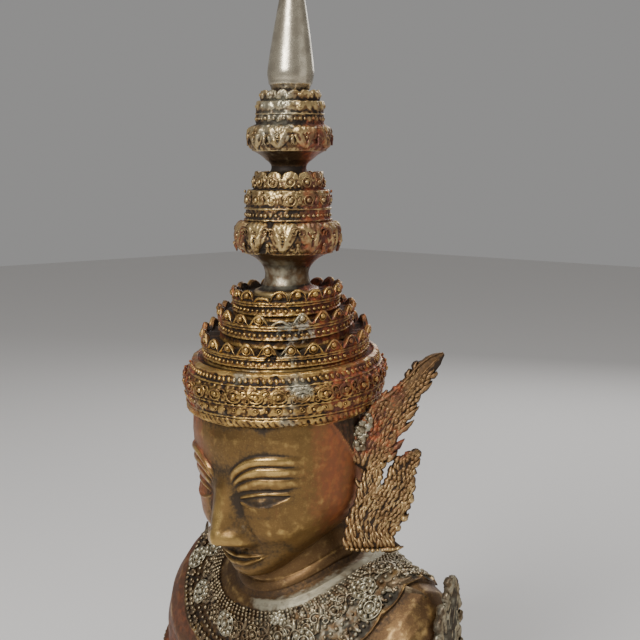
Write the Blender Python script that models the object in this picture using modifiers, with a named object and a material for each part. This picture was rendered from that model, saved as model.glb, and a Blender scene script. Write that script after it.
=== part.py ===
"""Bust of a praying angel in aged gilt bronze, under a tall tiered crown.

The figure faces -Y. The origin is at the middle of the underside, on the crown's axis.
The bust is one casting. The smooth finial of the crown and the two plates of flames
behind the ears are castings of their own.
"""

from dataclasses import dataclass
from math import atan2, cos, hypot, pi, radians, sin, tan

import bmesh
import bpy
from mathutils import Vector

MM = 0.001

# Levels above the underside
BRIM_LEVEL = 190.0 * MM
FIT_GAP = 0.3 * MM

# Crown, from the brim up
CROWN_COLUMNS = 44
CROWN_LEAN = radians(1.7)
BRIM_RADIUS = 51.8 * MM
BRIM_DROP = 3.0 * MM
BRIM_HEIGHT = 28.5 * MM
BRIM_EDGE_RADIUS = 46.8 * MM
BRIM_EDGE_CHAMFER = 1.6 * MM
BRIM_SIDE_TIP = -0.042
BRIM_BACK_TIP = 0.103
GROOVE_WIDTH = 1.2 * MM
GROOVE_DEPTH = 0.6 * MM
CREST_WALL = 2.2 * MM
CREST_BEVEL = 0.5 * MM
CREST_FOOT = 0.8 * MM
TOOTH_DEPTH = 4.0 * MM
WAIST_DEPTH = 0.9 * MM
BEAD_HALF_HEIGHT = 1.8 * MM
BEAD_RELIEF = 0.5 * MM

# Spire of the crown, above the rings
SPIRE_COLUMNS = 26
SPIRE_ROOT_DEPTH = 4.0 * MM
SPIRE_STEP = 0.4 * MM
NECK_RADIUS = 11.3 * MM
NECK_HEIGHT = 13.5 * MM
NECK_FLARE_HEIGHT = 2.4 * MM
BULB_RADIUS = 26.8 * MM
BULB_HEIGHT = 22.5 * MM
BAND_RADIUS = 22.0 * MM
BAND_HEIGHT = 16.0 * MM
BAND_TOOTH_DEPTH = 1.6 * MM
LAPPET_RADIUS = 18.2 * MM
LAPPET_HEIGHT = 9.5 * MM
LAPPET_TOOTH_DEPTH = 2.4 * MM
LAPPET_HOLLOW = 1.0 * MM
UPPER_NECK_RADIUS = 9.0 * MM
UPPER_NECK_HEIGHT = 6.0 * MM
UPPER_BULB_RADIUS = 21.2 * MM
UPPER_BULB_HEIGHT = 18.5 * MM
UPPER_BAND_RADIUS = 17.3 * MM
UPPER_BAND_HEIGHT = 11.0 * MM
UPPER_BAND_TOOTH_DEPTH = 1.2 * MM
SOCKET_RADIUS = 15.1 * MM
SOCKET_HEIGHT = 5.5 * MM
SOCKET_DEPTH = 3.0 * MM
SOCKET_WALL = 2.6 * MM
SOCKET_TOOTH_DEPTH = 2.4 * MM
SOCKET_TAPER = 0.6 * MM

# Finial
FINIAL_FOOT_RADIUS = 9.4 * MM
FINIAL_RADIUS = 12.0 * MM
FINIAL_HEIGHT = 77.0 * MM
FINIAL_TIP_RADIUS = 1.6 * MM

# Head, below the brim
HEAD_HALF_WIDTH = 45.3 * MM
HEAD_NOD = radians(4.0)
FACE_LENGTH = 86.5 * MM
FACE_DEPTH = 47.0 * MM
SKULL_DEPTH = 45.0 * MM
JAW_RISE = 0.17
NOSE_HEIGHT = 14.5 * MM
NOSE_HALF_WIDTH = 12.0 * MM
NOSTRIL_RELIEF = 3.6 * MM
NOSTRIL_HALF_WIDTH = 5.2 * MM
BROW_RELIEF = 1.5 * MM
EYE_SPACING = 21.5 * MM
EYE_HALF_WIDTH = 13.0 * MM
EYE_HOLLOW = 2.6 * MM
EYE_BALL_RELIEF = 2.4 * MM
LIP_RELIEF = 3.0 * MM
MOUTH_HALF_WIDTH = 17.0 * MM
CHIN_RELIEF = 2.0 * MM
CHIN_HALF_WIDTH = 16.0 * MM
CHEEK_RELIEF = 1.6 * MM
CHEEK_SPACING = 25.0 * MM
CHEEK_HALF_WIDTH = 18.0 * MM

# Shoulders, collar and armlets
SHOULDER_HALF_WIDTH = 94.0 * MM
CHEST_HALF_DEPTH = 44.0 * MM
TORSO_SETBACK = 17.0 * MM
NECK_HALF_WIDTH = 32.0 * MM
NECK_HALF_DEPTH = 32.0 * MM
NECK_SETBACK = 11.0 * MM
SHOULDER_LEVEL = 108.0 * MM
COLLAR_RAISE = 2.4 * MM
COLLAR_LEAF = 6.0 * MM
ARM_GROOVE = 8.0 * MM
ARM_GROOVE_HALF_WIDTH = 16.0 * MM
ARMLET_RAISE = 2.4 * MM
ARMLET_FLAME_SETBACK = 2.0 * MM
ARMLET_FLAME_LEAN = 4.0 * MM
ARMLET_FLAME_INSET = 1.0 * MM
ARMLET_FLAME_THICKNESS = 5.0 * MM
ARMLET_FLAME_ROOT_WIDTH = 9.0 * MM
ARMLET_FLAME_WIDTH = 8.0 * MM
ARMLET_FLAME_TIP_WIDTH = 4.5 * MM

# Flames
FLAME_PLANE = 27.0 * MM
FLAME_TURN = radians(45.0)
FLAME_THICKNESS = 3.2 * MM
FLAME_THICKNESS_STEP = 0.3 * MM
FLAME_RELIEF = 1.1 * MM

# Places of the flames in their plate: out from the head's axis, and up from the brim
UPPER_ROOT_OUT = 46.0 * MM
UPPER_ROOT_DOWN = 30.0 * MM
UPPER_TIP_OUT = 81.0 * MM
UPPER_TIP_UP = 29.0 * MM
UPPER_BOW = -2.0 * MM
UPPER_ROOT_WIDTH = 9.0 * MM
UPPER_WIDTH = 10.5 * MM
UPPER_TIP_WIDTH = 3.6 * MM
LOWER_ROOT_OUT = 45.0 * MM
LOWER_ROOT_DOWN = 74.0 * MM
LOWER_TIP_OUT = 69.0 * MM
LOWER_TIP_DOWN = 20.0 * MM
LOWER_BOW = 4.0 * MM
LOWER_ROOT_WIDTH = 13.0 * MM
LOWER_WIDTH = 13.5 * MM
LOWER_TIP_WIDTH = 4.5 * MM
LINK_ROOT_OUT = 44.0 * MM
LINK_ROOT_DOWN = 60.0 * MM
LINK_TIP_OUT = 50.0 * MM
LINK_TIP_DOWN = 12.0 * MM
LINK_BOW = -1.0 * MM
LINK_ROOT_WIDTH = 7.0 * MM
LINK_WIDTH = 8.0 * MM
LINK_TIP_WIDTH = 6.0 * MM


@dataclass(frozen=True)
class Ring:
    """One toothed ring of the crown.

    It holds the outer radius, the rise of the wall, the height of the crest, and how
    much the ring rises towards the figure's left and towards its back.
    """
    radius: float
    rise: float
    crest: float
    side_tip: float
    back_tip: float


RINGS = (
    Ring(43.6 * MM, 10.4 * MM, 4.6 * MM, -0.065, 0.126),
    Ring(35.2 * MM, 11.1 * MM, 4.6 * MM, -0.026, 0.073),
    Ring(28.2 * MM, 9.5 * MM, 4.6 * MM, 0.0, 0.061),
)


def clear_scene():
    """Remove every object of the scene."""
    for item in list(bpy.data.objects):
        bpy.data.objects.remove(item, do_unlink=True)


def new_collection(name):
    """A collection linked to the scene."""
    group = bpy.data.collections.new(name)
    bpy.context.scene.collection.children.link(group)
    return group


def metal(name, colour, roughness, metallic):
    """A Principled material."""
    made = bpy.data.materials.new(name)
    made.use_nodes = True
    shader = made.node_tree.nodes["Principled BSDF"]
    shader.inputs["Base Color"].default_value = (*colour, 1.0)
    shader.inputs["Roughness"].default_value = roughness
    shader.inputs["Metallic"].default_value = metallic
    made.diffuse_color = (*colour, 1.0)
    return made


def mesh_object(name, mesh, group):
    """An object of a mesh, linked to a collection."""
    made = bpy.data.objects.new(name, mesh)
    group.objects.link(made)
    return made


def evaluated_mesh(source):
    """The mesh of an object with its modifiers, welded and facing out."""
    bpy.context.view_layer.update()
    graph = bpy.context.evaluated_depsgraph_get()
    mesh = bpy.data.meshes.new_from_object(source.evaluated_get(graph))
    work = bmesh.new()
    work.from_mesh(mesh)
    bmesh.ops.remove_doubles(work, verts=work.verts, dist=0.005 * MM)
    bmesh.ops.recalc_face_normals(work, faces=work.faces)
    work.to_mesh(mesh)
    work.free()
    return mesh


def turned(name, profile, columns, group):
    """A closed turned body: a profile from top to bottom, turned with Screw."""
    rim = bpy.data.meshes.new(name + "_profile")
    points = [(0.0, 0.0, profile[0][1])]
    points += [(radius, 0.0, height) for radius, height in profile]
    points.append((0.0, 0.0, profile[-1][1]))
    rim.from_pydata(points, [(i, i + 1) for i in range(len(points) - 1)], [])
    source = mesh_object(name + "_profile", rim, group)
    screw = source.modifiers.new("Turn", "SCREW")
    screw.steps = columns
    screw.render_steps = columns
    screw.use_merge_vertices = True
    screw.merge_threshold = 0.00001
    mesh = evaluated_mesh(source)
    bpy.data.objects.remove(source, do_unlink=True)
    return mesh_object(name, mesh, group)


def shift_rows(item, columns, marks):
    """Move the marked rows of a turned body, column by column.

    marks holds, for each row, its radius and height, and how far the even columns
    move out and the odd columns move down.
    """
    for vertex in item.data.vertices:
        x, y, z = vertex.co
        radius = hypot(x, y)
        column = round(atan2(y, x) / (2.0 * pi / columns))
        for row_radius, row_height, out, down in marks:
            if abs(radius - row_radius) < 0.02 * MM and abs(z - row_height) < 0.02 * MM:
                if column % 2 == 0:
                    grow = 1.0 + out / radius
                    vertex.co = (x * grow, y * grow, z)
                else:
                    vertex.co = (x, y, z - down)


def join_in(body, others):
    """Boolean union of other bodies into one, applied in order."""
    for other in others:
        union = body.modifiers.new("Join", "BOOLEAN")
        union.operation = "UNION"
        union.solver = "EXACT"
        union.object = other
        mesh = evaluated_mesh(body)
        body.modifiers.clear()
        body.data = mesh
        bpy.data.objects.remove(other, do_unlink=True)


def cut_away(body, cutter):
    """Boolean cut of one body by a cutter, applied."""
    cut = body.modifiers.new("Cut", "BOOLEAN")
    cut.operation = "DIFFERENCE"
    cut.solver = "EXACT"
    cut.object = cutter
    mesh = evaluated_mesh(body)
    body.modifiers.clear()
    body.data = mesh


# Crown

def ring_levels():
    """Deck level of each ring, from the brim's top up."""
    levels = []
    level = BRIM_LEVEL - BRIM_DROP + BRIM_HEIGHT
    for ring in RINGS:
        level += ring.rise
        levels.append(level)
    return levels


def ring_stack(group):
    """The brim and the three toothed rings, as one turned body."""
    marks = []
    profile = []
    levels = ring_levels()
    profile.append((NECK_RADIUS * 1.3, levels[2] + SPIRE_STEP))
    for index in (2, 1, 0):
        ring = RINGS[index]
        deck = levels[index]
        foot = deck - ring.rise
        top = deck + ring.crest
        inner = ring.radius - CREST_WALL
        profile.append((inner - CREST_FOOT, deck))
        profile.append((inner, top - CREST_BEVEL))
        profile.append((ring.radius, top))
        marks.append((inner, top - CREST_BEVEL, 0.0, TOOTH_DEPTH))
        marks.append((ring.radius, top, 0.0, TOOTH_DEPTH))
        waist = ring.radius - WAIST_DEPTH
        bead = foot + 0.42 * ring.rise
        profile.append((waist, bead + BEAD_HALF_HEIGHT))
        profile.append((ring.radius, bead))
        marks.append((ring.radius, bead, BEAD_RELIEF, 0.0))
        profile.append((waist, foot))
    brim_top = BRIM_LEVEL - BRIM_DROP + BRIM_HEIGHT
    brim_foot = BRIM_LEVEL - BRIM_DROP
    profile.append((RINGS[0].radius + GROOVE_WIDTH, brim_top - GROOVE_DEPTH))
    for share, width, relief in ((0.10, 0.935, 1.0), (0.20, 0.965, 0.5), (0.38, 1.004, 1.0), (0.60, 0.992, 1.0)):
        level = brim_top - share * BRIM_HEIGHT
        profile.append((BRIM_RADIUS * width, level))
        marks.append((BRIM_RADIUS * width, level, BEAD_RELIEF * relief, 0.0))
    profile.append((BRIM_RADIUS * 0.955, brim_top - 0.74 * BRIM_HEIGHT))
    rope = (BRIM_RADIUS * 0.965, brim_top - 0.85 * BRIM_HEIGHT)
    profile.append(rope)
    marks.append((*rope, BEAD_RELIEF, 0.0))
    profile.append((BRIM_EDGE_RADIUS, brim_foot + 0.5 * BRIM_EDGE_CHAMFER))
    profile.append((BRIM_EDGE_RADIUS - BRIM_EDGE_CHAMFER, brim_foot))
    stack = turned("ring_stack", profile, CROWN_COLUMNS, group)
    shift_rows(stack, CROWN_COLUMNS, marks)
    return stack


def spire(group):
    """The two bulbs, bands and lappets above the rings, as one turned body."""
    marks = []
    base = ring_levels()[2]
    flare = 1.5 * NECK_RADIUS
    rows = [(flare, base - SPIRE_ROOT_DEPTH), (flare, base + 1.5 * SPIRE_STEP)]
    rows.append((NECK_RADIUS * 1.12, base + NECK_FLARE_HEIGHT))
    rows.append((NECK_RADIUS, base + 0.6 * NECK_HEIGHT))
    level = base + NECK_HEIGHT
    rows.append((NECK_RADIUS * 1.1, level))
    for share, width in ((0.12, 0.58), (0.34, 0.9), (0.62, 1.0), (0.84, 0.95), (1.0, 0.84)):
        rows.append((BULB_RADIUS * width, level + share * BULB_HEIGHT))
        if 0.2 < share < 0.9:
            marks.append((*rows[-1], 2.0 * BEAD_RELIEF, 0.0))
    level += BULB_HEIGHT
    rows.append((BAND_RADIUS, level + 0.25 * BAND_HEIGHT))
    marks.append((*rows[-1], BEAD_RELIEF, 0.0))
    rows.append((BAND_RADIUS * 0.95, level + 0.36 * BAND_HEIGHT))
    rows.append((BAND_RADIUS, level + 0.45 * BAND_HEIGHT))
    rows.append((BAND_RADIUS * 0.95, level + BAND_HEIGHT))
    marks.append((*rows[-1], 2.0 * BEAD_RELIEF, BAND_TOOTH_DEPTH))
    level += BAND_HEIGHT
    rows.append((LAPPET_RADIUS * 0.94, level + SPIRE_STEP))
    rows.append((LAPPET_RADIUS, level + 0.3 * LAPPET_HEIGHT))
    rows.append((LAPPET_RADIUS * 0.94, level + LAPPET_HEIGHT))
    marks.append((*rows[-1], BEAD_RELIEF, LAPPET_TOOTH_DEPTH))
    rows.append((LAPPET_RADIUS * 0.78, level + LAPPET_HEIGHT - LAPPET_HOLLOW))
    level += LAPPET_HEIGHT
    rows.append((UPPER_NECK_RADIUS * 1.05, level + SPIRE_STEP))
    rows.append((UPPER_NECK_RADIUS, level + 0.5 * UPPER_NECK_HEIGHT))
    level += UPPER_NECK_HEIGHT
    for share, width in ((0.0, 0.56), (0.3, 0.9), (0.62, 1.0), (1.0, 0.83)):
        rows.append((UPPER_BULB_RADIUS * width, level + share * UPPER_BULB_HEIGHT))
        if 0.2 < share < 0.9:
            marks.append((*rows[-1], 1.6 * BEAD_RELIEF, 0.0))
    level += UPPER_BULB_HEIGHT
    rows.append((UPPER_BAND_RADIUS, level + 0.4 * UPPER_BAND_HEIGHT))
    rows.append((UPPER_BAND_RADIUS * 0.95, level + 0.5 * UPPER_BAND_HEIGHT))
    rows.append((UPPER_BAND_RADIUS * 0.97, level + UPPER_BAND_HEIGHT))
    marks.append((*rows[-1], BEAD_RELIEF, UPPER_BAND_TOOTH_DEPTH))
    level += UPPER_BAND_HEIGHT
    rows.append((SOCKET_RADIUS * 0.95, level + 0.5 * SPIRE_STEP))
    rows.append((SOCKET_RADIUS, level + SOCKET_HEIGHT))
    rows.append((SOCKET_RADIUS - SOCKET_WALL, level + SOCKET_HEIGHT - SPIRE_STEP))
    marks.append((*rows[-2], 0.0, SOCKET_TOOTH_DEPTH))
    marks.append((*rows[-1], 0.0, SOCKET_TOOTH_DEPTH))
    rows.append((SOCKET_RADIUS - SOCKET_WALL - SOCKET_TAPER, level + SOCKET_HEIGHT - SOCKET_DEPTH))
    turned_body = turned("spire", list(reversed(rows)), SPIRE_COLUMNS, group)
    shift_rows(turned_body, SPIRE_COLUMNS, marks)
    return turned_body


def socket_floor():
    """Level of the flat seat inside the toothed rim at the top of the spire."""
    level = ring_levels()[2] + NECK_HEIGHT + BULB_HEIGHT + BAND_HEIGHT + LAPPET_HEIGHT
    level += UPPER_NECK_HEIGHT + UPPER_BULB_HEIGHT + UPPER_BAND_HEIGHT
    return level + SOCKET_HEIGHT - SOCKET_DEPTH


def crown_tips():
    """How the crown tips at some levels: level, rise to the figure's left, rise to its back."""
    tips = [(BRIM_LEVEL - BRIM_DROP + BRIM_HEIGHT, BRIM_SIDE_TIP, BRIM_BACK_TIP)]
    for ring, deck in zip(RINGS, ring_levels()):
        tips.append((deck + ring.crest, ring.side_tip, ring.back_tip))
    tips.append((ring_levels()[2] + NECK_HEIGHT, 0.0, 0.0))
    return tips


def tip_at(height, tips):
    """How the crown tips at a height, between the levels that are given."""
    if height <= tips[0][0]:
        return tips[0][1:]
    for (low, low_side, low_back), (high, high_side, high_back) in zip(tips, tips[1:]):
        if height < high:
            share = (height - low) / (high - low)
            return low_side + (high_side - low_side) * share, low_back + (high_back - low_back) * share
    return 0.0, 0.0


def settle_crown(item):
    """Tip the rings to the front left and lean the whole crown back, as the cast one does."""
    tips = crown_tips()
    for vertex in item.data.vertices:
        x, y, z = vertex.co
        side_tip, back_tip = tip_at(z, tips)
        vertex.co = (x, y + tan(CROWN_LEAN) * (z - BRIM_LEVEL), z + x * side_tip + y * back_tip)


def finial(group):
    """The smooth spike, a turned body that stands in the socket."""
    foot = socket_floor() + FIT_GAP
    rows = [(FINIAL_FOOT_RADIUS, foot), (FINIAL_FOOT_RADIUS * 1.02, foot + 0.04 * FINIAL_HEIGHT)]
    belly = 0.16
    for share in (0.10, 0.16, 0.24, 0.36, 0.52, 0.68, 0.84, 0.96):
        if share <= belly:
            part = (share - 0.04) / (belly - 0.04)
            radius = FINIAL_FOOT_RADIUS + (FINIAL_RADIUS - FINIAL_FOOT_RADIUS) * sin(part * pi / 2.0)
        else:
            part = (share - belly) / (1.0 - belly)
            radius = FINIAL_TIP_RADIUS + (FINIAL_RADIUS - FINIAL_TIP_RADIUS) * (1.0 - part ** 1.15)
        rows.append((radius, foot + share * FINIAL_HEIGHT))
    rows.append((FINIAL_TIP_RADIUS * 0.6, foot + FINIAL_HEIGHT))
    made = turned("crown_finial", list(reversed(rows)), SPIRE_COLUMNS, group)
    settle_crown(made)
    return made


# Head

HEAD_COLUMNS = 42
HEAD_ROWS = (
    # Share of the face's length below the brim, half width, front depth, back depth
    (-0.12, 0.70, 0.70, 0.72),
    (-0.02, 0.99, 0.97, 0.98),
    (0.12, 1.00, 1.00, 1.00),
    (0.19, 1.00, 1.00, 1.00),
    (0.225, 1.00, 0.995, 1.00),
    (0.25, 1.00, 0.99, 1.00),
    (0.277, 0.998, 0.985, 0.995),
    (0.324, 0.995, 0.98, 0.99),
    (0.352, 0.99, 0.975, 0.985),
    (0.386, 0.985, 0.97, 0.98),
    (0.416, 0.98, 0.967, 0.975),
    (0.443, 0.975, 0.963, 0.97),
    (0.477, 0.968, 0.96, 0.965),
    (0.507, 0.96, 0.957, 0.96),
    (0.56, 0.94, 0.952, 0.955),
    (0.62, 0.915, 0.94, 0.95),
    (0.68, 0.88, 0.92, 0.945),
    (0.73, 0.84, 0.88, 0.94),
    (0.77, 0.80, 0.83, 0.935),
    (0.81, 0.75, 0.80, 0.93),
    (0.845, 0.70, 0.79, 0.925),
    (0.87, 0.66, 0.785, 0.92),
    (0.90, 0.61, 0.775, 0.91),
    (0.94, 0.54, 0.76, 0.90),
    (0.985, 0.45, 0.70, 0.87),
    (1.005, 0.36, 0.58, 0.80),
    (1.01, 0.20, 0.34, 0.50),
)


def bump(offset, width):
    """A smooth hump, one at its middle and nothing past its width."""
    share = min(1.0, abs(offset) / width)
    return (1.0 - share * share) ** 2


def eye_arch(x):
    """One over the middle of an eye, falling to its corners and to the nose."""
    return bump(abs(x) - EYE_SPACING, 1.7 * EYE_HALF_WIDTH)


def face_relief(x, down, row_share):
    """How far the face stands proud at a place: across, and down from the brim as a share."""
    lift = 0.0
    # Nose, from the root between the eyes to the tip
    along = (down - 0.40) / 0.305
    if 0.0 < along < 1.0:
        ridge = NOSE_HEIGHT * (0.22 + 0.78 * along ** 1.25)
        width = NOSE_HALF_WIDTH * (0.62 + 0.38 * along)
        lift += ridge * bump(x, width) ** 0.8
    elif 1.0 <= along < 1.2:
        lift += NOSE_HEIGHT * (1.0 - (along - 1.0) / 0.2) * bump(x, NOSE_HALF_WIDTH) ** 0.8
    # Wings of the nose
    wing = bump(abs(x) - 0.78 * NOSE_HALF_WIDTH, NOSTRIL_HALF_WIDTH)
    lift += NOSTRIL_RELIEF * wing * bump(down - 0.725, 0.06)
    # Hollow of the eyes, ball and lids
    side = abs(x) - EYE_SPACING
    lift -= EYE_HOLLOW * bump(side, 1.5 * EYE_HALF_WIDTH) * bump(down - 0.44, 0.17)
    lift += EYE_BALL_RELIEF * bump(side, EYE_HALF_WIDTH) * bump(down - 0.46, 0.09)
    # Brow and lid ridges: rows of the cage alternate out and in
    if 0.2 < row_share < 0.52:
        ridges = {0.25: 1.0, 0.277: -0.35, 0.324: 0.9, 0.352: -0.35, 0.386: 0.9, 0.416: -0.4,
                  0.443: 0.75, 0.477: -0.75, 0.507: 0.4}
        reach = bump(side, 1.45 * EYE_HALF_WIDTH) ** 0.4
        lift += BROW_RELIEF * ridges.get(row_share, 0.0) * reach
    # Lips, the line between them and the ball of the chin
    mouth = bump(x, MOUTH_HALF_WIDTH) ** 0.6
    lift += LIP_RELIEF * mouth * bump(down - 0.838, 0.035)
    lift += LIP_RELIEF * mouth * bump(down - 0.896, 0.035)
    lift += CHIN_RELIEF * bump(x, CHIN_HALF_WIDTH) * bump(down - 0.96, 0.06)
    # Cheeks
    lift += CHEEK_RELIEF * bump(abs(x) - CHEEK_SPACING, CHEEK_HALF_WIDTH) * bump(down - 0.62, 0.17)
    return lift


def head_point(row, angle, grow):
    """A place on the head: angle 0 is the face's middle, pi the back."""
    share, wide, front, back = row
    across = sin(angle)
    ahead = cos(angle)
    half_width = HEAD_HALF_WIDTH * wide + grow
    if ahead > 0.0:
        depth = FACE_DEPTH * front + grow
        squareness = 2.25
    else:
        depth = SKULL_DEPTH * back + grow
        squareness = 2.1
    norm = (abs(across) ** squareness + abs(ahead) ** squareness) ** (1.0 / squareness)
    x = half_width * across / norm
    y = -depth * ahead / norm
    # The jaw rises towards the back
    rise = JAW_RISE * (1.0 - ahead) ** 1.1 * max(0.0, share - 0.55) / 0.45
    arch = 0.0
    if ahead > 0.0 and 0.2 < share < 0.52:
        arch = 0.085 * eye_arch(x) * (0.50 - share) / 0.27 - 0.012 * eye_arch(x)
        arch -= 0.03 * bump(x, 0.5 * EYE_SPACING) * bump(share - 0.33, 0.16)
    down = share - rise - arch
    if ahead > 0.0:
        lift = face_relief(x, down, share)
        y -= lift * (0.35 + 0.65 * ahead)
        x += lift * 0.45 * across
    z = -down * FACE_LENGTH
    nodded_y = y * cos(HEAD_NOD) - z * sin(HEAD_NOD)
    nodded_z = y * sin(HEAD_NOD) + z * cos(HEAD_NOD)
    return Vector((x, nodded_y, BRIM_LEVEL + nodded_z))


def loft(name, rings, group):
    """A closed body through rings of points, from top to bottom, capped by a point at each end."""
    work = bmesh.new()
    rows = [[work.verts.new(point) for point in ring] for ring in rings]
    count = len(rows[0])
    for upper, lower in zip(rows, rows[1:]):
        for index in range(count):
            after = (index + 1) % count
            work.faces.new((upper[index], lower[index], lower[after], upper[after]))
    for row in (rows[0], rows[-1]):
        middle = sum((vert.co for vert in row), Vector()) / count
        tip = work.verts.new(middle)
        for index in range(count):
            work.faces.new((row[index], row[(index + 1) % count], tip))
    bmesh.ops.recalc_face_normals(work, faces=work.faces)
    bmesh.ops.triangulate(work, faces=work.faces)
    mesh = bpy.data.meshes.new(name)
    work.to_mesh(mesh)
    work.free()
    return mesh_object(name, mesh, group)


def head_angles():
    """Angles of the head's columns, closer together across the face."""
    half = HEAD_COLUMNS // 2
    angles = []
    for index in range(-half + 1, half + 1):
        share = index / half
        angles.append(pi * (0.5 * share + 0.5 * share ** 3))
    return angles


def head(group, grow=0.0):
    """The head below the brim, closed above inside the crown and below inside the neck."""
    rings = [[head_point(row, angle, grow) for angle in head_angles()] for row in HEAD_ROWS]
    return loft("head", rings, group)


# Shoulders

TORSO_COLUMNS = 40


@dataclass(frozen=True)
class Level:
    """One row of the shoulders: its height at the side, front and back, and its outline.

    Heights are shares of the shoulders' level, widths of the shoulders' half width,
    depths of the chest's half depth. collar is the share of the collar's raise.
    """
    side: float
    front: float
    back: float
    wide: float
    fore: float
    aft: float
    collar: float = 0.0
    armlet: float = 0.0
    leaf: float = 0.0
    bead: float = 0.0


LEVELS = (
    Level(0.0, 0.0, 0.0, 0.985, 0.93, 0.98),
    Level(0.32, 0.17, 0.23, 1.0, 0.97, 1.0),
    Level(0.335, 0.18, 0.245, 1.0, 0.97, 1.0, armlet=1.0),
    Level(0.53, 0.30, 0.39, 1.0, 1.0, 1.02, armlet=1.0),
    Level(0.545, 0.31, 0.405, 1.0, 1.0, 1.02),
    Level(0.72, 0.37, 0.56, 0.995, 1.02, 1.02),
    Level(0.86, 0.415, 0.67, 0.96, 1.03, 0.99),
    Level(0.94, 0.45, 0.735, 0.89, 1.03, 0.96),
    Level(0.975, 0.49, 0.79, 0.81, 1.03, 0.93, leaf=1.0),
    Level(0.985, 0.50, 0.80, 0.80, 1.03, 0.92, collar=1.0, leaf=1.0),
    Level(1.0, 0.56, 0.87, 0.69, 1.01, 0.86, collar=1.0, bead=1.0),
    Level(1.0, 0.65, 0.945, 0.60, 0.99, 0.80, collar=0.7),
    Level(0.995, 0.74, 1.02, 0.52, 0.95, 0.72, collar=1.0, bead=1.0),
    Level(0.985, 0.80, 1.08, 0.45, 0.89, 0.65, collar=1.4),
    Level(1.0, 0.83, 1.095, 0.42, 0.86, 0.62, collar=1.2),
)


def oval(half_width, fore, aft, middle, angle, squareness):
    """A place on an oval with unlike front and back: angle 0 is the front."""
    across = sin(angle)
    ahead = cos(angle)
    depth = fore if ahead > 0.0 else aft
    norm = (abs(across) ** squareness + abs(ahead) ** squareness) ** (1.0 / squareness)
    return half_width * across / norm, middle - depth * ahead / norm, ahead / norm


def torso_point(level, column):
    """A place on the shoulders, chest or collar."""
    angle = 2.0 * pi * column / TORSO_COLUMNS
    raise_by = COLLAR_RAISE * level.collar + BEAD_RELIEF * level.bead * (column % 2)
    reach = COLLAR_LEAF * level.leaf * (column % 2)
    squareness = 2.0 + 0.8 * min(1.0, level.wide)
    x, y, ahead = oval(
        SHOULDER_HALF_WIDTH * level.wide + 0.5 * raise_by + 0.4 * reach,
        CHEST_HALF_DEPTH * level.fore + raise_by,
        CHEST_HALF_DEPTH * level.aft + raise_by,
        TORSO_SETBACK, angle, squareness)
    towards = abs(ahead) ** 1.5
    end = level.front if ahead > 0.0 else level.back
    z = SHOULDER_LEVEL * (level.side + (end - level.side) * towards) + 0.7 * raise_by * (1.0 - towards)
    z -= reach * (0.35 + 0.65 * towards)
    if level.side < 0.8:
        fade = 1.0 - level.side / 0.8
        groove = ARM_GROOVE * bump(abs(x) - 0.67 * SHOULDER_HALF_WIDTH, ARM_GROOVE_HALF_WIDTH) * fade ** 0.5
        y += groove if ahead > 0.0 else -groove
    if level.armlet and abs(x) > 0.72 * SHOULDER_HALF_WIDTH:
        grow = 1.0 + ARMLET_RAISE * level.armlet / SHOULDER_HALF_WIDTH
        x *= grow
        y = TORSO_SETBACK + (y - TORSO_SETBACK) * (1.0 + ARMLET_RAISE * level.armlet / CHEST_HALF_DEPTH)
    return Vector((x, y, z))


def neck_ring(height, swell, fore_height, aft_height):
    """A ring of the neck: its height at the side, front and back."""
    ring = []
    for column in range(TORSO_COLUMNS):
        angle = 2.0 * pi * column / TORSO_COLUMNS
        x, y, ahead = oval(NECK_HALF_WIDTH * swell, NECK_HALF_DEPTH * swell, NECK_HALF_DEPTH * swell,
                           NECK_SETBACK, angle, 2.0)
        end = fore_height if ahead > 0.0 else aft_height
        ring.append(Vector((x, y, height + (end - height) * abs(ahead) ** 1.5)))
    return ring


def shoulders(group):
    """The chest, shoulders, collar and neck, flat below, closed above inside the head."""
    rings = [[torso_point(level, column) for column in range(TORSO_COLUMNS)] for level in LEVELS]
    base = SHOULDER_LEVEL
    rings.append(neck_ring(base * 0.96, 0.97, base * 0.80, base * 1.06))
    rings.append(neck_ring(base * 1.08, 0.96, base * 0.92, base * 1.14))
    rings.append(neck_ring(base * 1.31, 0.82, base * 1.31, base * 1.31))
    return loft("shoulders", list(reversed(rings)), group)


# Flames

@dataclass(frozen=True)
class Flame:
    """A flame in its plate's own plane: across and up, in metres, from root to tip.

    bow pushes the middle of the spine sideways, widths are half widths at the root,
    the middle and near the tip, and spikes is the number of teeth on each edge.
    """
    root: tuple
    tip: tuple
    bow: float
    widths: tuple
    spikes: int


UPPER_FLAME = Flame(
    root=(UPPER_ROOT_OUT, -UPPER_ROOT_DOWN),
    tip=(UPPER_TIP_OUT, UPPER_TIP_UP),
    bow=UPPER_BOW,
    widths=(UPPER_ROOT_WIDTH, UPPER_WIDTH, UPPER_TIP_WIDTH),
    spikes=5,
)
LOWER_FLAME = Flame(
    root=(LOWER_ROOT_OUT, -LOWER_ROOT_DOWN),
    tip=(LOWER_TIP_OUT, -LOWER_TIP_DOWN),
    bow=LOWER_BOW,
    widths=(LOWER_ROOT_WIDTH, LOWER_WIDTH, LOWER_TIP_WIDTH),
    spikes=5,
)
LINK_FLAME = Flame(
    root=(LINK_ROOT_OUT, -LINK_ROOT_DOWN),
    tip=(LINK_TIP_OUT, -LINK_TIP_DOWN),
    bow=LINK_BOW,
    widths=(LINK_ROOT_WIDTH, LINK_WIDTH, LINK_TIP_WIDTH),
    spikes=3,
)


def spine_point(flame, share):
    """A place on the flame's spine and the direction to its right."""
    root = Vector(flame.root)
    tip = Vector(flame.tip)
    along = tip - root
    side = Vector((along.y, -along.x)).normalized()
    place = root + along * share + side * flame.bow * sin(pi * share)
    return place, side


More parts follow.
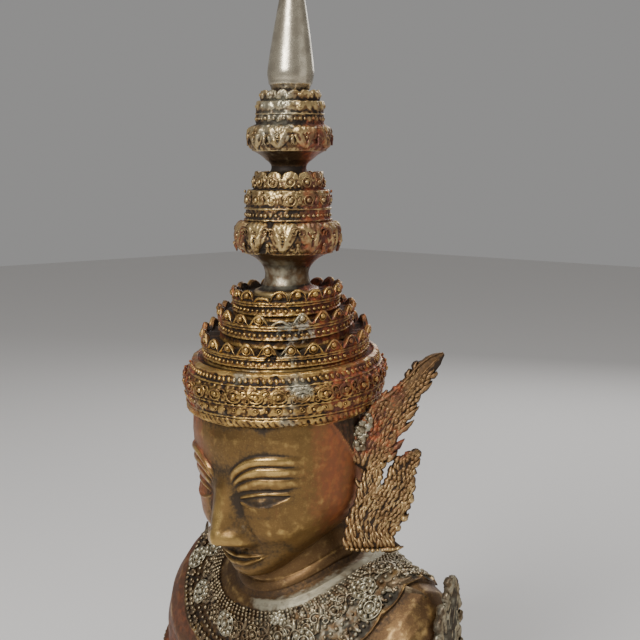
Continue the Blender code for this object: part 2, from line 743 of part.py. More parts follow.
def half_width(flame, share):
    """Half width of the flame at a share of its length: swells, then tapers to the tip."""
    first, middle, last = flame.widths
    if share < 0.45:
        part = share / 0.45
        width = first + (middle - first) * sin(part * pi / 2.0)
    elif share < 0.85:
        part = (share - 0.45) / 0.4
        width = middle + (last - middle) * part ** 0.9
    else:
        width = last * (1.0 - share) / 0.15
    return width


def flame_outline(flame, scale, spike, start=0.0):
    """The flame's outline, with teeth that point to its tip on both edges."""
    right = []
    left = []
    reach = 0.92 - start
    for index in range(flame.spikes):
        low = start + index / flame.spikes * reach
        high = start + (index + 0.85) / flame.spikes * reach
        for share, grow in ((low, 0.80), (high, 1.0 + spike)):
            place, side = spine_point(flame, share)
            width = half_width(flame, share) * scale * grow
            right.append(place + side * width)
            left.append(place - side * width)
    tip, _ = spine_point(flame, 0.5 + 0.5 * scale)
    return right + [tip] + list(reversed(left))


def plate(name, outline, thickness, group):
    """A flat plate of an outline: a filled curve with its thickness, made a mesh."""
    curve = bpy.data.curves.new(name, "CURVE")
    curve.dimensions = "2D"
    curve.fill_mode = "BOTH"
    curve.extrude = thickness / 2.0
    spline = curve.splines.new("POLY")
    spline.points.add(len(outline) - 1)
    for point, place in zip(spline.points, outline):
        point.co = (place.x, place.y, 0.0, 1.0)
    spline.use_cyclic_u = True
    source = mesh_object(name, curve, group)
    mesh = evaluated_mesh(source)
    bpy.data.objects.remove(source, do_unlink=True)
    return mesh_object(name, mesh, group)


def flame_plate(name, flames, group):
    """Flames in one plate, each with a second leaf that stands proud on both faces."""
    bodies = []
    for index, flame in enumerate(flames):
        step = FLAME_THICKNESS_STEP * index
        bodies.append(plate(name, flame_outline(flame, 1.0, 0.18), FLAME_THICKNESS - step, group))
        leaf_thickness = FLAME_THICKNESS + 2.0 * FLAME_RELIEF - step
        if flame.spikes > 3:
            bodies.append(plate(name + "_leaf", flame_outline(flame, 0.58, 0.22, 0.07), leaf_thickness, group))
    join_in(bodies[0], bodies[1:])
    return bodies[0]


def ear_flame(name, side, group, cutters):
    """The plate of flames behind one ear: side is 1 for the figure's left, -1 for its right."""
    body = flame_plate(name, (UPPER_FLAME, LOWER_FLAME, LINK_FLAME), group)
    # Across becomes outward and back, up stays up
    across = Vector((cos(FLAME_TURN), sin(FLAME_TURN), 0.0))
    out = Vector((sin(FLAME_TURN), -cos(FLAME_TURN), 0.0))
    for vertex in body.data.vertices:
        u, v, w = vertex.co
        place = across * u + out * (FLAME_PLANE + w) + Vector((0.0, 0.0, BRIM_LEVEL + v))
        vertex.co = (place.x * side, place.y, place.z)
    if side < 0.0:
        body.data.flip_normals()
    for cutter in cutters:
        cut_away(body, cutter)
    body.data = evaluated_mesh(body)
    return body


def shoulder_flame(name, side, height, group):
    """The small upright flame on the outside of an armlet."""
    shape = Flame(
        root=(TORSO_SETBACK + ARMLET_FLAME_SETBACK, 0.42 * SHOULDER_LEVEL),
        tip=(TORSO_SETBACK + ARMLET_FLAME_SETBACK + ARMLET_FLAME_LEAN, height),
        bow=0.0,
        widths=(ARMLET_FLAME_ROOT_WIDTH, ARMLET_FLAME_WIDTH, ARMLET_FLAME_TIP_WIDTH),
        spikes=4,
    )
    body = plate(name, flame_outline(shape, 1.0, 0.15), ARMLET_FLAME_THICKNESS, group)
    stand = SHOULDER_HALF_WIDTH - ARMLET_FLAME_INSET
    for vertex in body.data.vertices:
        u, v, w = vertex.co
        flare = 0.05 * max(0.0, v - 0.55 * SHOULDER_LEVEL)
        vertex.co = (side * (stand + w + flare), u, v)
    if side > 0.0:
        body.data.flip_normals()
    return body


def hide_cutters(cutters):
    """Show cutters as wires only."""
    for cutter in cutters:
        cutter.hide_render = True
        cutter.display_type = "WIRE"


def smooth(item):
    """Smooth shading with sharp creases kept."""
    item.data.shade_smooth()
    item.data.set_sharp_from_angle(angle=radians(35.0))


def main():
    """Build the bust, the finial and the two plates of flames."""
    clear_scene()
    group = new_collection("thepphanom_angel_bust")
    tools = new_collection("cutters")

    gilt = metal("gilt_bronze", (0.36, 0.22, 0.09), 0.42, 0.85)
    pale = metal("pale_bronze", (0.46, 0.42, 0.34), 0.35, 0.85)
    tan_brass = metal("flame_bronze", (0.40, 0.25, 0.13), 0.5, 0.8)
    far_brass = metal("flame_bronze_right", (0.38, 0.24, 0.12), 0.5, 0.8)

    head_cutter = head(tools, FIT_GAP)
    head_cutter.name = "head_cutter"
    rings = ring_stack(tools)
    settle_crown(rings)
    flame_left = ear_flame("ear_flame_left", 1.0, group, (head_cutter, rings))
    flame_right = ear_flame("ear_flame_right", -1.0, group, (head_cutter, rings))

    bust = shoulders(group)
    bust.name = "angel_bust"
    crown = ring_stack(group)
    tower = spire(group)
    settle_crown(crown)
    settle_crown(tower)
    left = shoulder_flame("shoulder_flame_left", 1.0, 1.05 * SHOULDER_LEVEL, group)
    right = shoulder_flame("shoulder_flame_right", -1.0, 0.62 * SHOULDER_LEVEL, group)
    join_in(bust, [head(group), crown, tower, left, right])
    spike = finial(group)

    for item, finish in ((bust, gilt), (spike, pale), (flame_left, tan_brass), (flame_right, far_brass)):
        item.data.materials.clear()
        item.data.materials.append(finish)
        smooth(item)
    hide_cutters((head_cutter, rings))


main()
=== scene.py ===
"""Looks of the praying angel's bust: aged gilt bronze, tiered crown, flames and jewelled collar.

The figure faces -Y, and the camera looks at it from the figure's front left. Sizes that the
solids have are repeated here in metres, so that each piece lies where its solid lies.
"""

import logging
from dataclasses import dataclass, field
from enum import Enum
from itertools import product
from math import atan2, cos, pi, radians, sin, sqrt, tan, tau

import bpy
import numpy as np
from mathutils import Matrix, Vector


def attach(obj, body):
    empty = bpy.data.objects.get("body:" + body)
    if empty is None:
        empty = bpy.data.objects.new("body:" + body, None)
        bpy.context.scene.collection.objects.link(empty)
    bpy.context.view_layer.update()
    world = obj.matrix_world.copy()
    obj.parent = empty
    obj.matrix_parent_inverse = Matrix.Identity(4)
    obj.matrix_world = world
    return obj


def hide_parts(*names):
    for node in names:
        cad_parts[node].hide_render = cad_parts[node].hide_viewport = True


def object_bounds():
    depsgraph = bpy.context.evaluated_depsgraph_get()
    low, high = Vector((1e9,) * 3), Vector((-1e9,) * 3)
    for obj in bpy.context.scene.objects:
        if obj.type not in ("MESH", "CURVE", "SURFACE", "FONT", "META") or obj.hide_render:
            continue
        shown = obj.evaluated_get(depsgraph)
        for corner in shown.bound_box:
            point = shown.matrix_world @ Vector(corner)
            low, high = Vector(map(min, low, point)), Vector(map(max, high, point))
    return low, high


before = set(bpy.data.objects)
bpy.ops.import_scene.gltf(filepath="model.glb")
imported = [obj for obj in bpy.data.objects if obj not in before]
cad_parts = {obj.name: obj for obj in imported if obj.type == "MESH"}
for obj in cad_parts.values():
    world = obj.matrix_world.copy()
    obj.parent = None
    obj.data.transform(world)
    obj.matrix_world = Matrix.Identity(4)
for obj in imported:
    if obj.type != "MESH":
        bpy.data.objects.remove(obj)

CAD_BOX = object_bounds()
LOG = logging.getLogger("angel_bust")
Array = np.ndarray
Tone = tuple[float, float, float]
Line = tuple[tuple[float, float], ...]
Socket = bpy.types.NodeSocket
MM = 0.001
BOX_MARGIN = 0.02 * MM

# Levels and tilts that every piece shares with the solids
BRIM_LEVEL = 190.0 * MM
CROWN_LEAN = radians(1.7)
HEAD_NOD = radians(4.0)
# Level, rise to the figure's left and rise to its back: brim, three crests, top of the neck
CROWN_TIPS = (
    (215.5 * MM, -0.042, 0.103),
    (230.5 * MM, -0.065, 0.126),
    (241.6 * MM, -0.026, 0.073),
    (251.1 * MM, 0.0, 0.061),
    (260.0 * MM, 0.0, 0.0),
)

# The relief mark is light on ridges, for rubbed gilding, and dark in hollows, for dark patina and painted
# shade. The red mark is red lacquer together with a painted red reflection, and the silver mark is grey metal
# together with a painted pale reflection.
MARKS = ("relief", "lacquer", "silver", "crust")
MARK_REST = {"relief": 0.5, "lacquer": 0.0, "silver": 0.0, "crust": 0.0}


class Side(Enum):
    """The figure's own left and right, as the sign of X."""

    LEFT = 1.0
    RIGHT = -1.0


# Curves and noise

def unit(value: Array) -> Array:
    """A value kept between nothing and one."""
    return np.clip(value, 0.0, 1.0)


def hump(offset: Array, width: float) -> Array:
    """A smooth hump, one at its middle and nothing past its width."""
    share = np.minimum(1.0, np.abs(offset) / width)
    return (1.0 - share * share) ** 2


def dome(offset: Array, width: float) -> Array:
    """A round-topped hump with steep sides, as a bead's section has."""
    return np.sqrt(unit(1.0 - (offset / width) ** 2))


def rise(value: Array, low: float, high: float) -> Array:
    """A smooth step from nothing at low to one at high."""
    share = unit((value - low) / (high - low))
    return share * share * (3.0 - 2.0 * share)


def fall(value: Array, low: float, high: float) -> Array:
    """A smooth step from one at low to nothing at high."""
    return 1.0 - rise(value, low, high)


def stretch(value: Array, low: float, full: float, last: float, end: float) -> Array:
    """One from full to last, with smooth steps to nothing at low and at end."""
    return rise(value, low, full) * fall(value, last, end)


def oval(across: Array, down: Array, middle: tuple[float, float], reach: tuple[float, float]) -> Array:
    """A smooth hump round a middle, with one reach across and one down."""
    return hump(across - middle[0], reach[0]) * hump(down - middle[1], reach[1])


def from_middle(turn: Array) -> Array:
    """How far a place is from the middle of its repeat: nothing there and one at its ends."""
    return 2.0 * np.abs(turn - np.floor(turn) - 0.5)


def grain(points: Array, cell: float, seed: int) -> Array:
    """Smooth noise from -1 to 1, with lumps about as large as a cell.

    Args:
        points: places, with their coordinates in the last axis.
        cell: size of a lump in metres.
        seed: which noise of its kind.

    Returns:
        One value for each place.
    """
    scaled = points / cell
    base = np.floor(scaled).astype(np.int64)
    part = scaled - base
    part = part * part * (3.0 - 2.0 * part)
    total = np.zeros(points.shape[:-1])
    for corner in product((0, 1), repeat=3):
        spot = base + np.array(corner)
        mixed = spot[..., 0] * 73856093 ^ spot[..., 1] * 19349663 ^ spot[..., 2] * 83492791 ^ seed * 2654435
        mixed = (mixed ^ (mixed >> 13)) * 1274126177 & 0xFFFFFF
        weight = np.prod(np.where(corner, part, 1.0 - part), axis=-1)
        total += weight * (mixed / 8388607.5 - 1.0)
    return total


def rough(points: Array, cell: float, seed: int) -> Array:
    """Two sizes of lumps together, from about -1 to 1."""
    return 0.65 * grain(points, cell, seed) + 0.35 * grain(points, 0.45 * cell, seed + 7)


def weathered(shell: "Shell", reach: float, seed: int) -> "Shell":
    """A shell whose points are moved about a little, as old casting is lumpy.

    Args:
        shell: what is changed.
        reach: how far they may move.
        seed: which noise of its kind.

    Returns:
        The same shell.
    """
    for axis in range(3):
        shell.points[:, axis] += reach * grain(shell.points, 1.7 * MM, seed + axis)
    return shell


def toward_right(points: Array) -> Array:
    """Distance of places to the picture's right, across the camera's direction."""
    return (points[..., 0] + points[..., 1]) / sqrt(2.0)


def toward_camera(points: Array) -> Array:
    """Distance of places towards the camera, level with it."""
    return (points[..., 0] - points[..., 1]) / sqrt(2.0)


# Shells

@dataclass
class Shell:
    """A closed skin: its points, its four- and three-cornered faces, and its marks."""

    points: Array
    quads: Array
    tris: Array
    marks: dict[str, Array] = field(default_factory=dict)

    def facing_out(self) -> "Shell":
        """The shell with its faces turned to face out.

        Returns:
            The same shell.
        """
        corners = np.concatenate([self.quads[:, [0, 1, 2]], self.quads[:, [0, 2, 3]], self.tris])
        a, b, c = (self.points[corners[:, index]] for index in range(3))
        if np.einsum("ij,ij->i", a, np.cross(b, c)).sum() < 0.0:
            self.quads = self.quads[:, ::-1]
            self.tris = self.tris[:, ::-1]
        return self

    def moved(self, seat: "Seat", scale: float = 1.0) -> "Shell":
        """A copy of the shell laid on a seat.

        Args:
            seat: where it sits and which way it faces.
            scale: its size against the template's.

        Returns:
            The placed shell, facing out.
        """
        local = self.points * (scale * seat.unit)
        placed = seat.place + local @ np.stack([seat.side, seat.up, seat.out])
        return Shell(placed, self.quads, self.tris, dict(self.marks)).facing_out()

    def marked(self, **levels: float) -> "Shell":
        """A copy with some marks set to one level all over.

        Args:
            levels: a level for each mark that is set.

        Returns:
            The copy.
        """
        marks = dict(self.marks)
        for name, level in levels.items():
            marks[name] = np.full(len(self.points), level)
        return Shell(self.points, self.quads, self.tris, marks)


@dataclass(frozen=True)
class Seat:
    """A place on a surface with its side, up and outward directions, and its ornaments' unit."""

    place: Array
    side: Array
    up: Array
    out: Array
    unit: float = MM

    def turned(self, angle: float) -> "Seat":
        """The seat turned about its outward direction.

        Args:
            angle: how far, in radians.

        Returns:
            The turned seat.
        """
        side = self.side * cos(angle) + self.up * sin(angle)
        up = self.up * cos(angle) - self.side * sin(angle)
        return Seat(self.place, side, up, self.out, self.unit)

    def shifted(self, across: float, upward: float, outward: float = 0.0) -> "Seat":
        """The seat moved along its own directions, in its unit."""
        way = self.side * across + self.up * upward + self.out * outward
        return Seat(self.place + way * self.unit, self.side, self.up, self.out, self.unit)


FLAT_SEAT = Seat(np.zeros(3), *np.eye(3), unit=1.0)


def join(shells: list[Shell]) -> Shell:
    """All shells as one, with the marks that none of them sets at their rest level.

    Args:
        shells: what is joined.

    Returns:
        The joined shell.
    """
    offset = 0
    quads, tris = [], []
    for shell in shells:
        quads.append(shell.quads + offset)
        tris.append(shell.tris + offset)
        offset += len(shell.points)
    marks = {}
    for name in MARKS:
        rest = MARK_REST[name]
        marks[name] = np.concatenate(
            [shell.marks.get(name, np.full(len(shell.points), rest)) for shell in shells])
    points = np.concatenate([shell.points for shell in shells])
    return Shell(points, np.concatenate(quads), np.concatenate(tris), marks)


def grid_shell(grid: Array, marks: dict[str, Array] | None = None) -> Shell:
    """A closed shell from rows of points that run round, with a point in the middle of each end.

    Args:
        grid: rows, columns and coordinates.
        marks: values for rows and columns.

    Returns:
        The shell, facing out.
    """
    rows, columns = grid.shape[:2]
    index = np.arange(rows * columns).reshape(rows, columns)
    after = np.roll(index, -1, axis=1)
    quads = np.stack([index[:-1], after[:-1], after[1:], index[1:]], axis=-1).reshape(-1, 4)
    first, last = rows * columns, rows * columns + 1
    foot = np.stack([np.full(columns, first), after[0], index[0]], axis=-1)
    head = np.stack([np.full(columns, last), index[-1], after[-1]], axis=-1)
    ends = [grid[0].mean(axis=0), grid[-1].mean(axis=0)]
    points = np.concatenate([grid.reshape(-1, 3), ends])
    values = {}
    for name, value in (marks or {}).items():
        values[name] = np.concatenate([value.ravel(), [value[0].mean(), value[-1].mean()]])
    return Shell(points, quads, np.concatenate([foot, head]), values).facing_out()


def fewer_behind(grid: Array, marks: dict[str, Array]) -> tuple[Array, dict[str, Array]]:
    """The grid without every second column of the side turned from the picture.

    Args:
        grid: rows, columns and coordinates, with the columns running round.
        marks: values for rows and columns.

    Returns:
        The grid and its marks, with the columns that are left.
    """
    near = toward_camera(grid).mean(axis=0)
    seen = near > near.mean() - 0.2 * (near.max() - near.mean())
    kept = np.flatnonzero(seen | (np.arange(len(near)) % 2 == 0))
    return grid[:, kept], {name: value[:, kept] for name, value in marks.items()}


def carved_marks(grid: Array, fine: int = 3, broad: int = 9) -> Array:
    """How far each place of a grid stands proud of its neighbours: 0.5 is level.

    Args:
        grid: rows, columns and coordinates, with the columns running round.
        fine: cells over which small carving is read.
        broad: cells over which large forms are read.

    Returns:
        A value from 0, deep in a groove, to 1, on a ridge, for each place.
    """
    along = np.gradient(grid, axis=0)
    round_it = (np.roll(grid, -1, axis=1) - np.roll(grid, 1, axis=1)) / 2.0
    normal = np.cross(round_it, along)
    normal /= np.maximum(np.linalg.norm(normal, axis=-1, keepdims=True), 1e-12)
    middle = grid.mean(axis=(0, 1))
    if np.einsum("ijk,ijk->", normal, grid - middle) < 0.0:
        normal = -normal
    found = np.zeros(grid.shape[:2])
    for reach, weight in ((fine, 0.6), (broad, 0.4)):
        soft = grid
        for step in (1, max(1, reach // 2), reach):
            up = np.concatenate([soft[:step][::-1], soft, soft[-step:][::-1]])
            soft = (up[2 * step:] + 2.0 * soft + up[:-2 * step]) / 4.0
            soft = (np.roll(soft, step, axis=1) + 2.0 * soft + np.roll(soft, -step, axis=1)) / 4.0
        proud = np.einsum("ijk,ijk->ij", grid - soft, normal)
        found += weight * proud / (0.10 * MM * reach ** 0.6)
    return unit(0.5 + 0.33 * found)


def tube_shell(path: Array, half_widths: Array, heights: Array, sides: int = 8,
               combs: float = 0.0, depth: float = 0.0, sunk: bool = False) -> Shell:
    """A closed leaf or cord that lies on the side-up plane along a path.

    Args:
        path: places along it, across and up.
        half_widths: half width at each place.
        heights: height over the plane at each place, and as much below it.
        sides: corners of its section.
        combs: how many ridges run along it, none for a smooth one.
        depth: how deep the grooves between the ridges are, as a share of the height.
        sunk: whether its underside is out of sight, so that all its corners are on top.

    Returns:
        The shell, with its relief marked.
    """
    ahead = np.gradient(path, axis=0)
    ahead /= np.maximum(np.linalg.norm(ahead, axis=1, keepdims=True), 1e-12)
    beside = np.stack([ahead[:, 1], -ahead[:, 0]], axis=1)
    if sunk:
        around = np.linspace(-0.12, 1.12, sides) * pi
    else:
        around = np.linspace(0.0, tau, sides, endpoint=False)
    across, above = np.cos(around), np.sin(around)
    comb = 1.0 - depth * (0.5 - 0.5 * np.cos(tau * combs * across)) if combs else np.ones(sides)
    grid = np.zeros((len(path), sides, 3))
    grid[..., :2] = path[:, None, :] + beside[:, None, :] * (half_widths[:, None] * across)[..., None]
    grid[..., 2] = heights[:, None] * above * comb
    groove = (comb - (1.0 - depth)) / depth if combs else np.abs(above)
    # Lighter along the top, darker at the edges and in the grooves: rubbed gilding on top, dark patina and
    # painted shade below.
    relief = np.tile(0.30 + 0.45 * np.abs(above) * groove, (len(path), 1))
    return grid_shell(grid, {"relief": relief})


def turtle(start: tuple[float, float], heading: float, length: float, bend: float,
           curl: float = 0.0, steps: int = 14) -> Array:
    """A path that sets off at a heading, bends evenly, and curls at its end.

    Args:
        start: where it sets off, across and up.
        heading: its first direction, in radians from the side direction.
        length: how long it is.
        bend: how far it turns on the whole way.
        curl: how much more it turns over its last third.
        steps: places along it.

    Returns:
        The places along the path.
    """
    share = np.linspace(0.0, 1.0, steps)
    turn = heading + bend * share + curl * unit((share - 0.6) / 0.4) ** 1.5
    stride = length / (steps - 1)
    moves = np.stack([np.cos(turn), np.sin(turn)], axis=1) * stride
    return np.array(start) + np.concatenate([[[0.0, 0.0]], np.cumsum(moves[:-1], axis=0)])


def leaf_widths(width: float, steps: int, belly: float = 0.35, root: float = 0.45) -> Array:
    """Half widths of a leaf: narrow at its root, widest at its belly, pointed at its tip.

    Args:
        width: half width at its belly.
        steps: places along it.
        belly: share of the length at its belly.
        root: share of the width at its root.

    Returns:
        A half width for each place.
    """
    share = np.linspace(0.0, 1.0, steps)
    swell = root + (1.0 - root) * np.sin(np.minimum(1.0, share / belly) * pi / 2.0)
    taper = unit((1.0 - share) / (1.0 - belly)) ** 0.75
    return width * np.minimum(swell, 0.04 + 0.96 * taper)


# Ornaments, each made once and laid on a surface many times

def pearl(radius: float, height: float, sides: int = 8) -> Shell:
    """A round bead, half sunk, in three rings and a top.

    Args:
        radius: its radius.
        height: how far it stands out.
        sides: corners round it.

    Returns:
        The bead.
    """
    tilt = np.array([-0.21, 0.025, 0.26]) * pi
    ring = np.linspace(0.0, tau, sides, endpoint=False)
    grid = np.zeros((len(tilt), sides, 3))
    for row, angle in enumerate(tilt):
        grid[row, :, 0] = radius * cos(angle) * np.cos(ring)
        grid[row, :, 1] = radius * cos(angle) * np.sin(ring)
        grid[row, :, 2] = height * sin(angle)
    # Lighter on top, darker at the foot: rubbed gilding on top, dark patina and painted shade at the foot.
    relief = np.repeat(np.array([0.3, 0.62, 0.85])[:, None], sides, axis=1)
    shell = grid_shell(grid, {"relief": relief})
    shell.points[-1, 2] = height
    shell.marks["relief"][-1] = 0.9
    return shell


def hoop(radius: float, thickness: float, stretch: float = 1.0, sides: int = 18) -> Shell:
    """A raised ring that lies on the surface.

    Args:
        radius: its radius.
        thickness: radius of its section.
        stretch: its width against its height.
        sides: corners round it.

    Returns:
        The ring.
    """
    ring = np.linspace(0.0, tau, sides, endpoint=False)
    section = np.array([-0.2, 0.28, 0.72, 1.2]) * pi
    out = radius + thickness * np.cos(section)[None, :]
    x, y = out * np.cos(ring)[:, None] * stretch, out * np.sin(ring)[:, None]
    points = np.stack(np.broadcast_arrays(x, y, 1.12 * thickness * np.sin(section)), axis=-1)
    index = np.arange(points[..., 0].size).reshape(points.shape[:2])
    ahead = np.roll(index, -1, axis=0)
    quads = np.stack([index, ahead, np.roll(ahead, -1, axis=1), np.roll(index, -1, axis=1)], axis=-1)
    # Lighter on top, darker underneath: rubbed gilding on top, dark patina and painted shade underneath.
    marks = {"relief": np.tile(0.45 + 0.35 * np.sin(section), sides)}
    return Shell(points.reshape(-1, 3), quads.reshape(-1, 4), np.zeros((0, 3), int), marks).facing_out()


def rosette(radius: float, petals: int = 7) -> Shell:
    """A flower: a boss in a ring, with round petals about it.

    Args:
        radius: its radius.
        petals: how many petals it has.

    Returns:
        The flower.
    """
    parts = [pearl(0.30 * radius, 0.34 * radius), hoop(0.47 * radius, 0.085 * radius)]
    petal = pearl(0.23 * radius, 0.22 * radius)
    for index in range(petals):
        angle = tau * index / petals
        parts.append(petal.moved(FLAT_SEAT.shifted(0.76 * radius * cos(angle), 0.76 * radius * sin(angle))))
    parts.append(hoop(0.98 * radius, 0.07 * radius, sides=22))
    return join(parts)


def kranok(length: float, width: float, bend: float, curl: float, height: float,
           combs: float = 0.0, heading: float = pi / 2.0) -> Shell:
    """A curled flame leaf that grows from the middle of its root.

    Args:
        length: how long it is.
        width: its half width at the belly.
        bend: how far it turns on its way.
        curl: how much more its tip turns.
        height: how far it stands out.
        combs: ridges along it.
        heading: its first direction.

    Returns:
        The leaf.
    """
    steps = 12
    path = turtle((0.0, 0.0), heading, length, bend, curl, steps)
    widths = leaf_widths(width, steps)
    heights = height * (0.45 + 0.55 * widths / width)
    return tube_shell(path, widths, heights, 9 if combs else 6, combs, 0.42, sunk=True)


def scroll(radius: float, thickness: float, turns: float, height: float, hand: float = 1.0) -> Shell:
    """A spiral cord that thins towards its middle.

    Args:
        radius: its radius.
        thickness: half width of the cord.
        turns: how often it goes round.
        height: how far it stands out.
        hand: 1 to go round leftward, -1 to go round rightward.

    Returns:
        The scroll.
    """
    steps = int(14 * turns) + 4
    share = np.linspace(0.0, 1.0, steps)
    angle = hand * tau * turns * share
    reach = radius * (1.0 - 0.86 * share)
    path = np.stack([reach * np.cos(angle), reach * np.sin(angle)], axis=1)
    widths = thickness * (1.0 - 0.35 * share)
    widths[0] *= 0.3
    return tube_shell(path, widths, height * widths / thickness, 5, sunk=True)


# Finishes

@dataclass(frozen=True)
class Finish:
    """Aged gilt bronze: its tones, and how its gloss and pits go."""

    name: str
    ground: Tone
    shade: Tone
    rubbed: Tone
    # Tone of the hollows: dark patina together with painted shade.
    recess: Tone
    roughness: float = 0.42
    metallic: float = 0.88
    # Red tones: old red lacquer, which also stands for a painted red reflection.
    lacquer_bright: Tone = (0.42, 0.095, 0.03)
    lacquer_dark: Tone = (0.12, 0.038, 0.022)
    lacquer_edge: tuple[float, float] = (0.34, 0.62)
    # Grey tones: worn gilding and grey metal, which also stand for a painted pale reflection.
    silver: Tone = (0.42, 0.385, 0.28)
    silver_dark: Tone = (0.105, 0.096, 0.066)
    crust: Tone = (0.38, 0.345, 0.27)
    verdigris: Tone = (0.20, 0.225, 0.165)
    pits: float = 0.35

    def build(self) -> bpy.types.Material:
        """The finish as a node material that reads the marks of the mesh.

        Returns:
            The material.
        """
        painter = Painter(self.name)
        relief, lacquer, silver, crust = (painter.mark(name) for name in MARKS)
        patches = painter.noise(38.0, 3.0)
        spots = painter.noise(260.0, 4.0)
        specks = painter.noise(1300.0, 2.0)
        streaks = painter.noise(620.0, 3.0)
        grime = painter.step(painter.noise(120.0, 5.0), 0.40, 0.62)
        worn = painter.add(relief, painter.scaled(spots, 0.50, -0.25))
        high = painter.step(worn, 0.56, 0.80)
        high = painter.times(high, painter.scaled(grime, -0.62, 1.0))
        # Hollows take the recess tone: dark patina together with painted shade.
        low = painter.step(painter.add(relief, painter.scaled(streaks, 0.30, -0.15)), 0.54, 0.30)
        tone = painter.blend(painter.step(patches, 0.38, 0.66), self.ground, self.shade)
        tone = painter.blend(painter.scaled(painter.step(specks, 0.52, 0.78), 0.22, 0.0), tone, self.rubbed)
        tone = painter.blend(high, tone, self.rubbed)
        tone = painter.blend(low, tone, self.recess)
        # The red blend is old lacquer together with a painted red reflection.
        lacquer_tone = painter.blend(painter.step(spots, 0.42, 0.64), self.lacquer_dark, self.lacquer_bright)
        wide = painter.add(lacquer, painter.scaled(patches, 0.5, -0.25))
        edge = painter.add(wide, painter.scaled(streaks, 0.5, -0.25))
        lacquer_mask = painter.times(painter.step(edge, *self.lacquer_edge), painter.scaled(high, -0.72, 1.0))
        tone = painter.blend(lacquer_mask, tone, lacquer_tone)
        # The grey blend is worn gilding together with a painted pale reflection.
        silver_tone = painter.blend(painter.step(worn, 0.34, 0.62), self.silver_dark, self.silver)
        silver_mask = painter.step(painter.add(silver, painter.scaled(spots, 0.6, -0.3)), 0.32, 0.62)
        tone = painter.blend(painter.scaled(silver_mask, 0.9, 0.0), tone, silver_tone)
        crust_tone = painter.blend(painter.step(patches, 0.42, 0.62), self.crust, self.verdigris)
        broken = painter.add(painter.scaled(spots, 1.1, -0.55), painter.scaled(streaks, 0.7, -0.35))
        crust_mask = painter.scaled(painter.step(painter.add(crust, broken), 0.44, 0.66), 0.8, 0.0)
        tone = painter.blend(crust_mask, tone, crust_tone)
        dull = painter.add(painter.scaled(low, 0.42, 0.0), painter.scaled(crust_mask, 0.8, 0.0))
        dull = painter.add(dull, painter.scaled(lacquer_mask, 0.38, 0.0))
        metallic = painter.times(painter.scaled(dull, -1.0, 1.0), self.metallic)
        gloss = painter.scaled(specks, 0.22, self.roughness - 0.11)
        gloss = painter.add(gloss, painter.scaled(low, 0.22, 0.0))
        gloss = painter.add(gloss, painter.scaled(crust_mask, 0.3, 0.0))
        gloss = painter.add(gloss, painter.scaled(high, -0.10, 0.0))
        height = painter.add(painter.scaled(spots, 0.5, 0.0), painter.scaled(specks, 0.35, 0.0))
        return painter.finished(tone, metallic, gloss, height, self.pits)


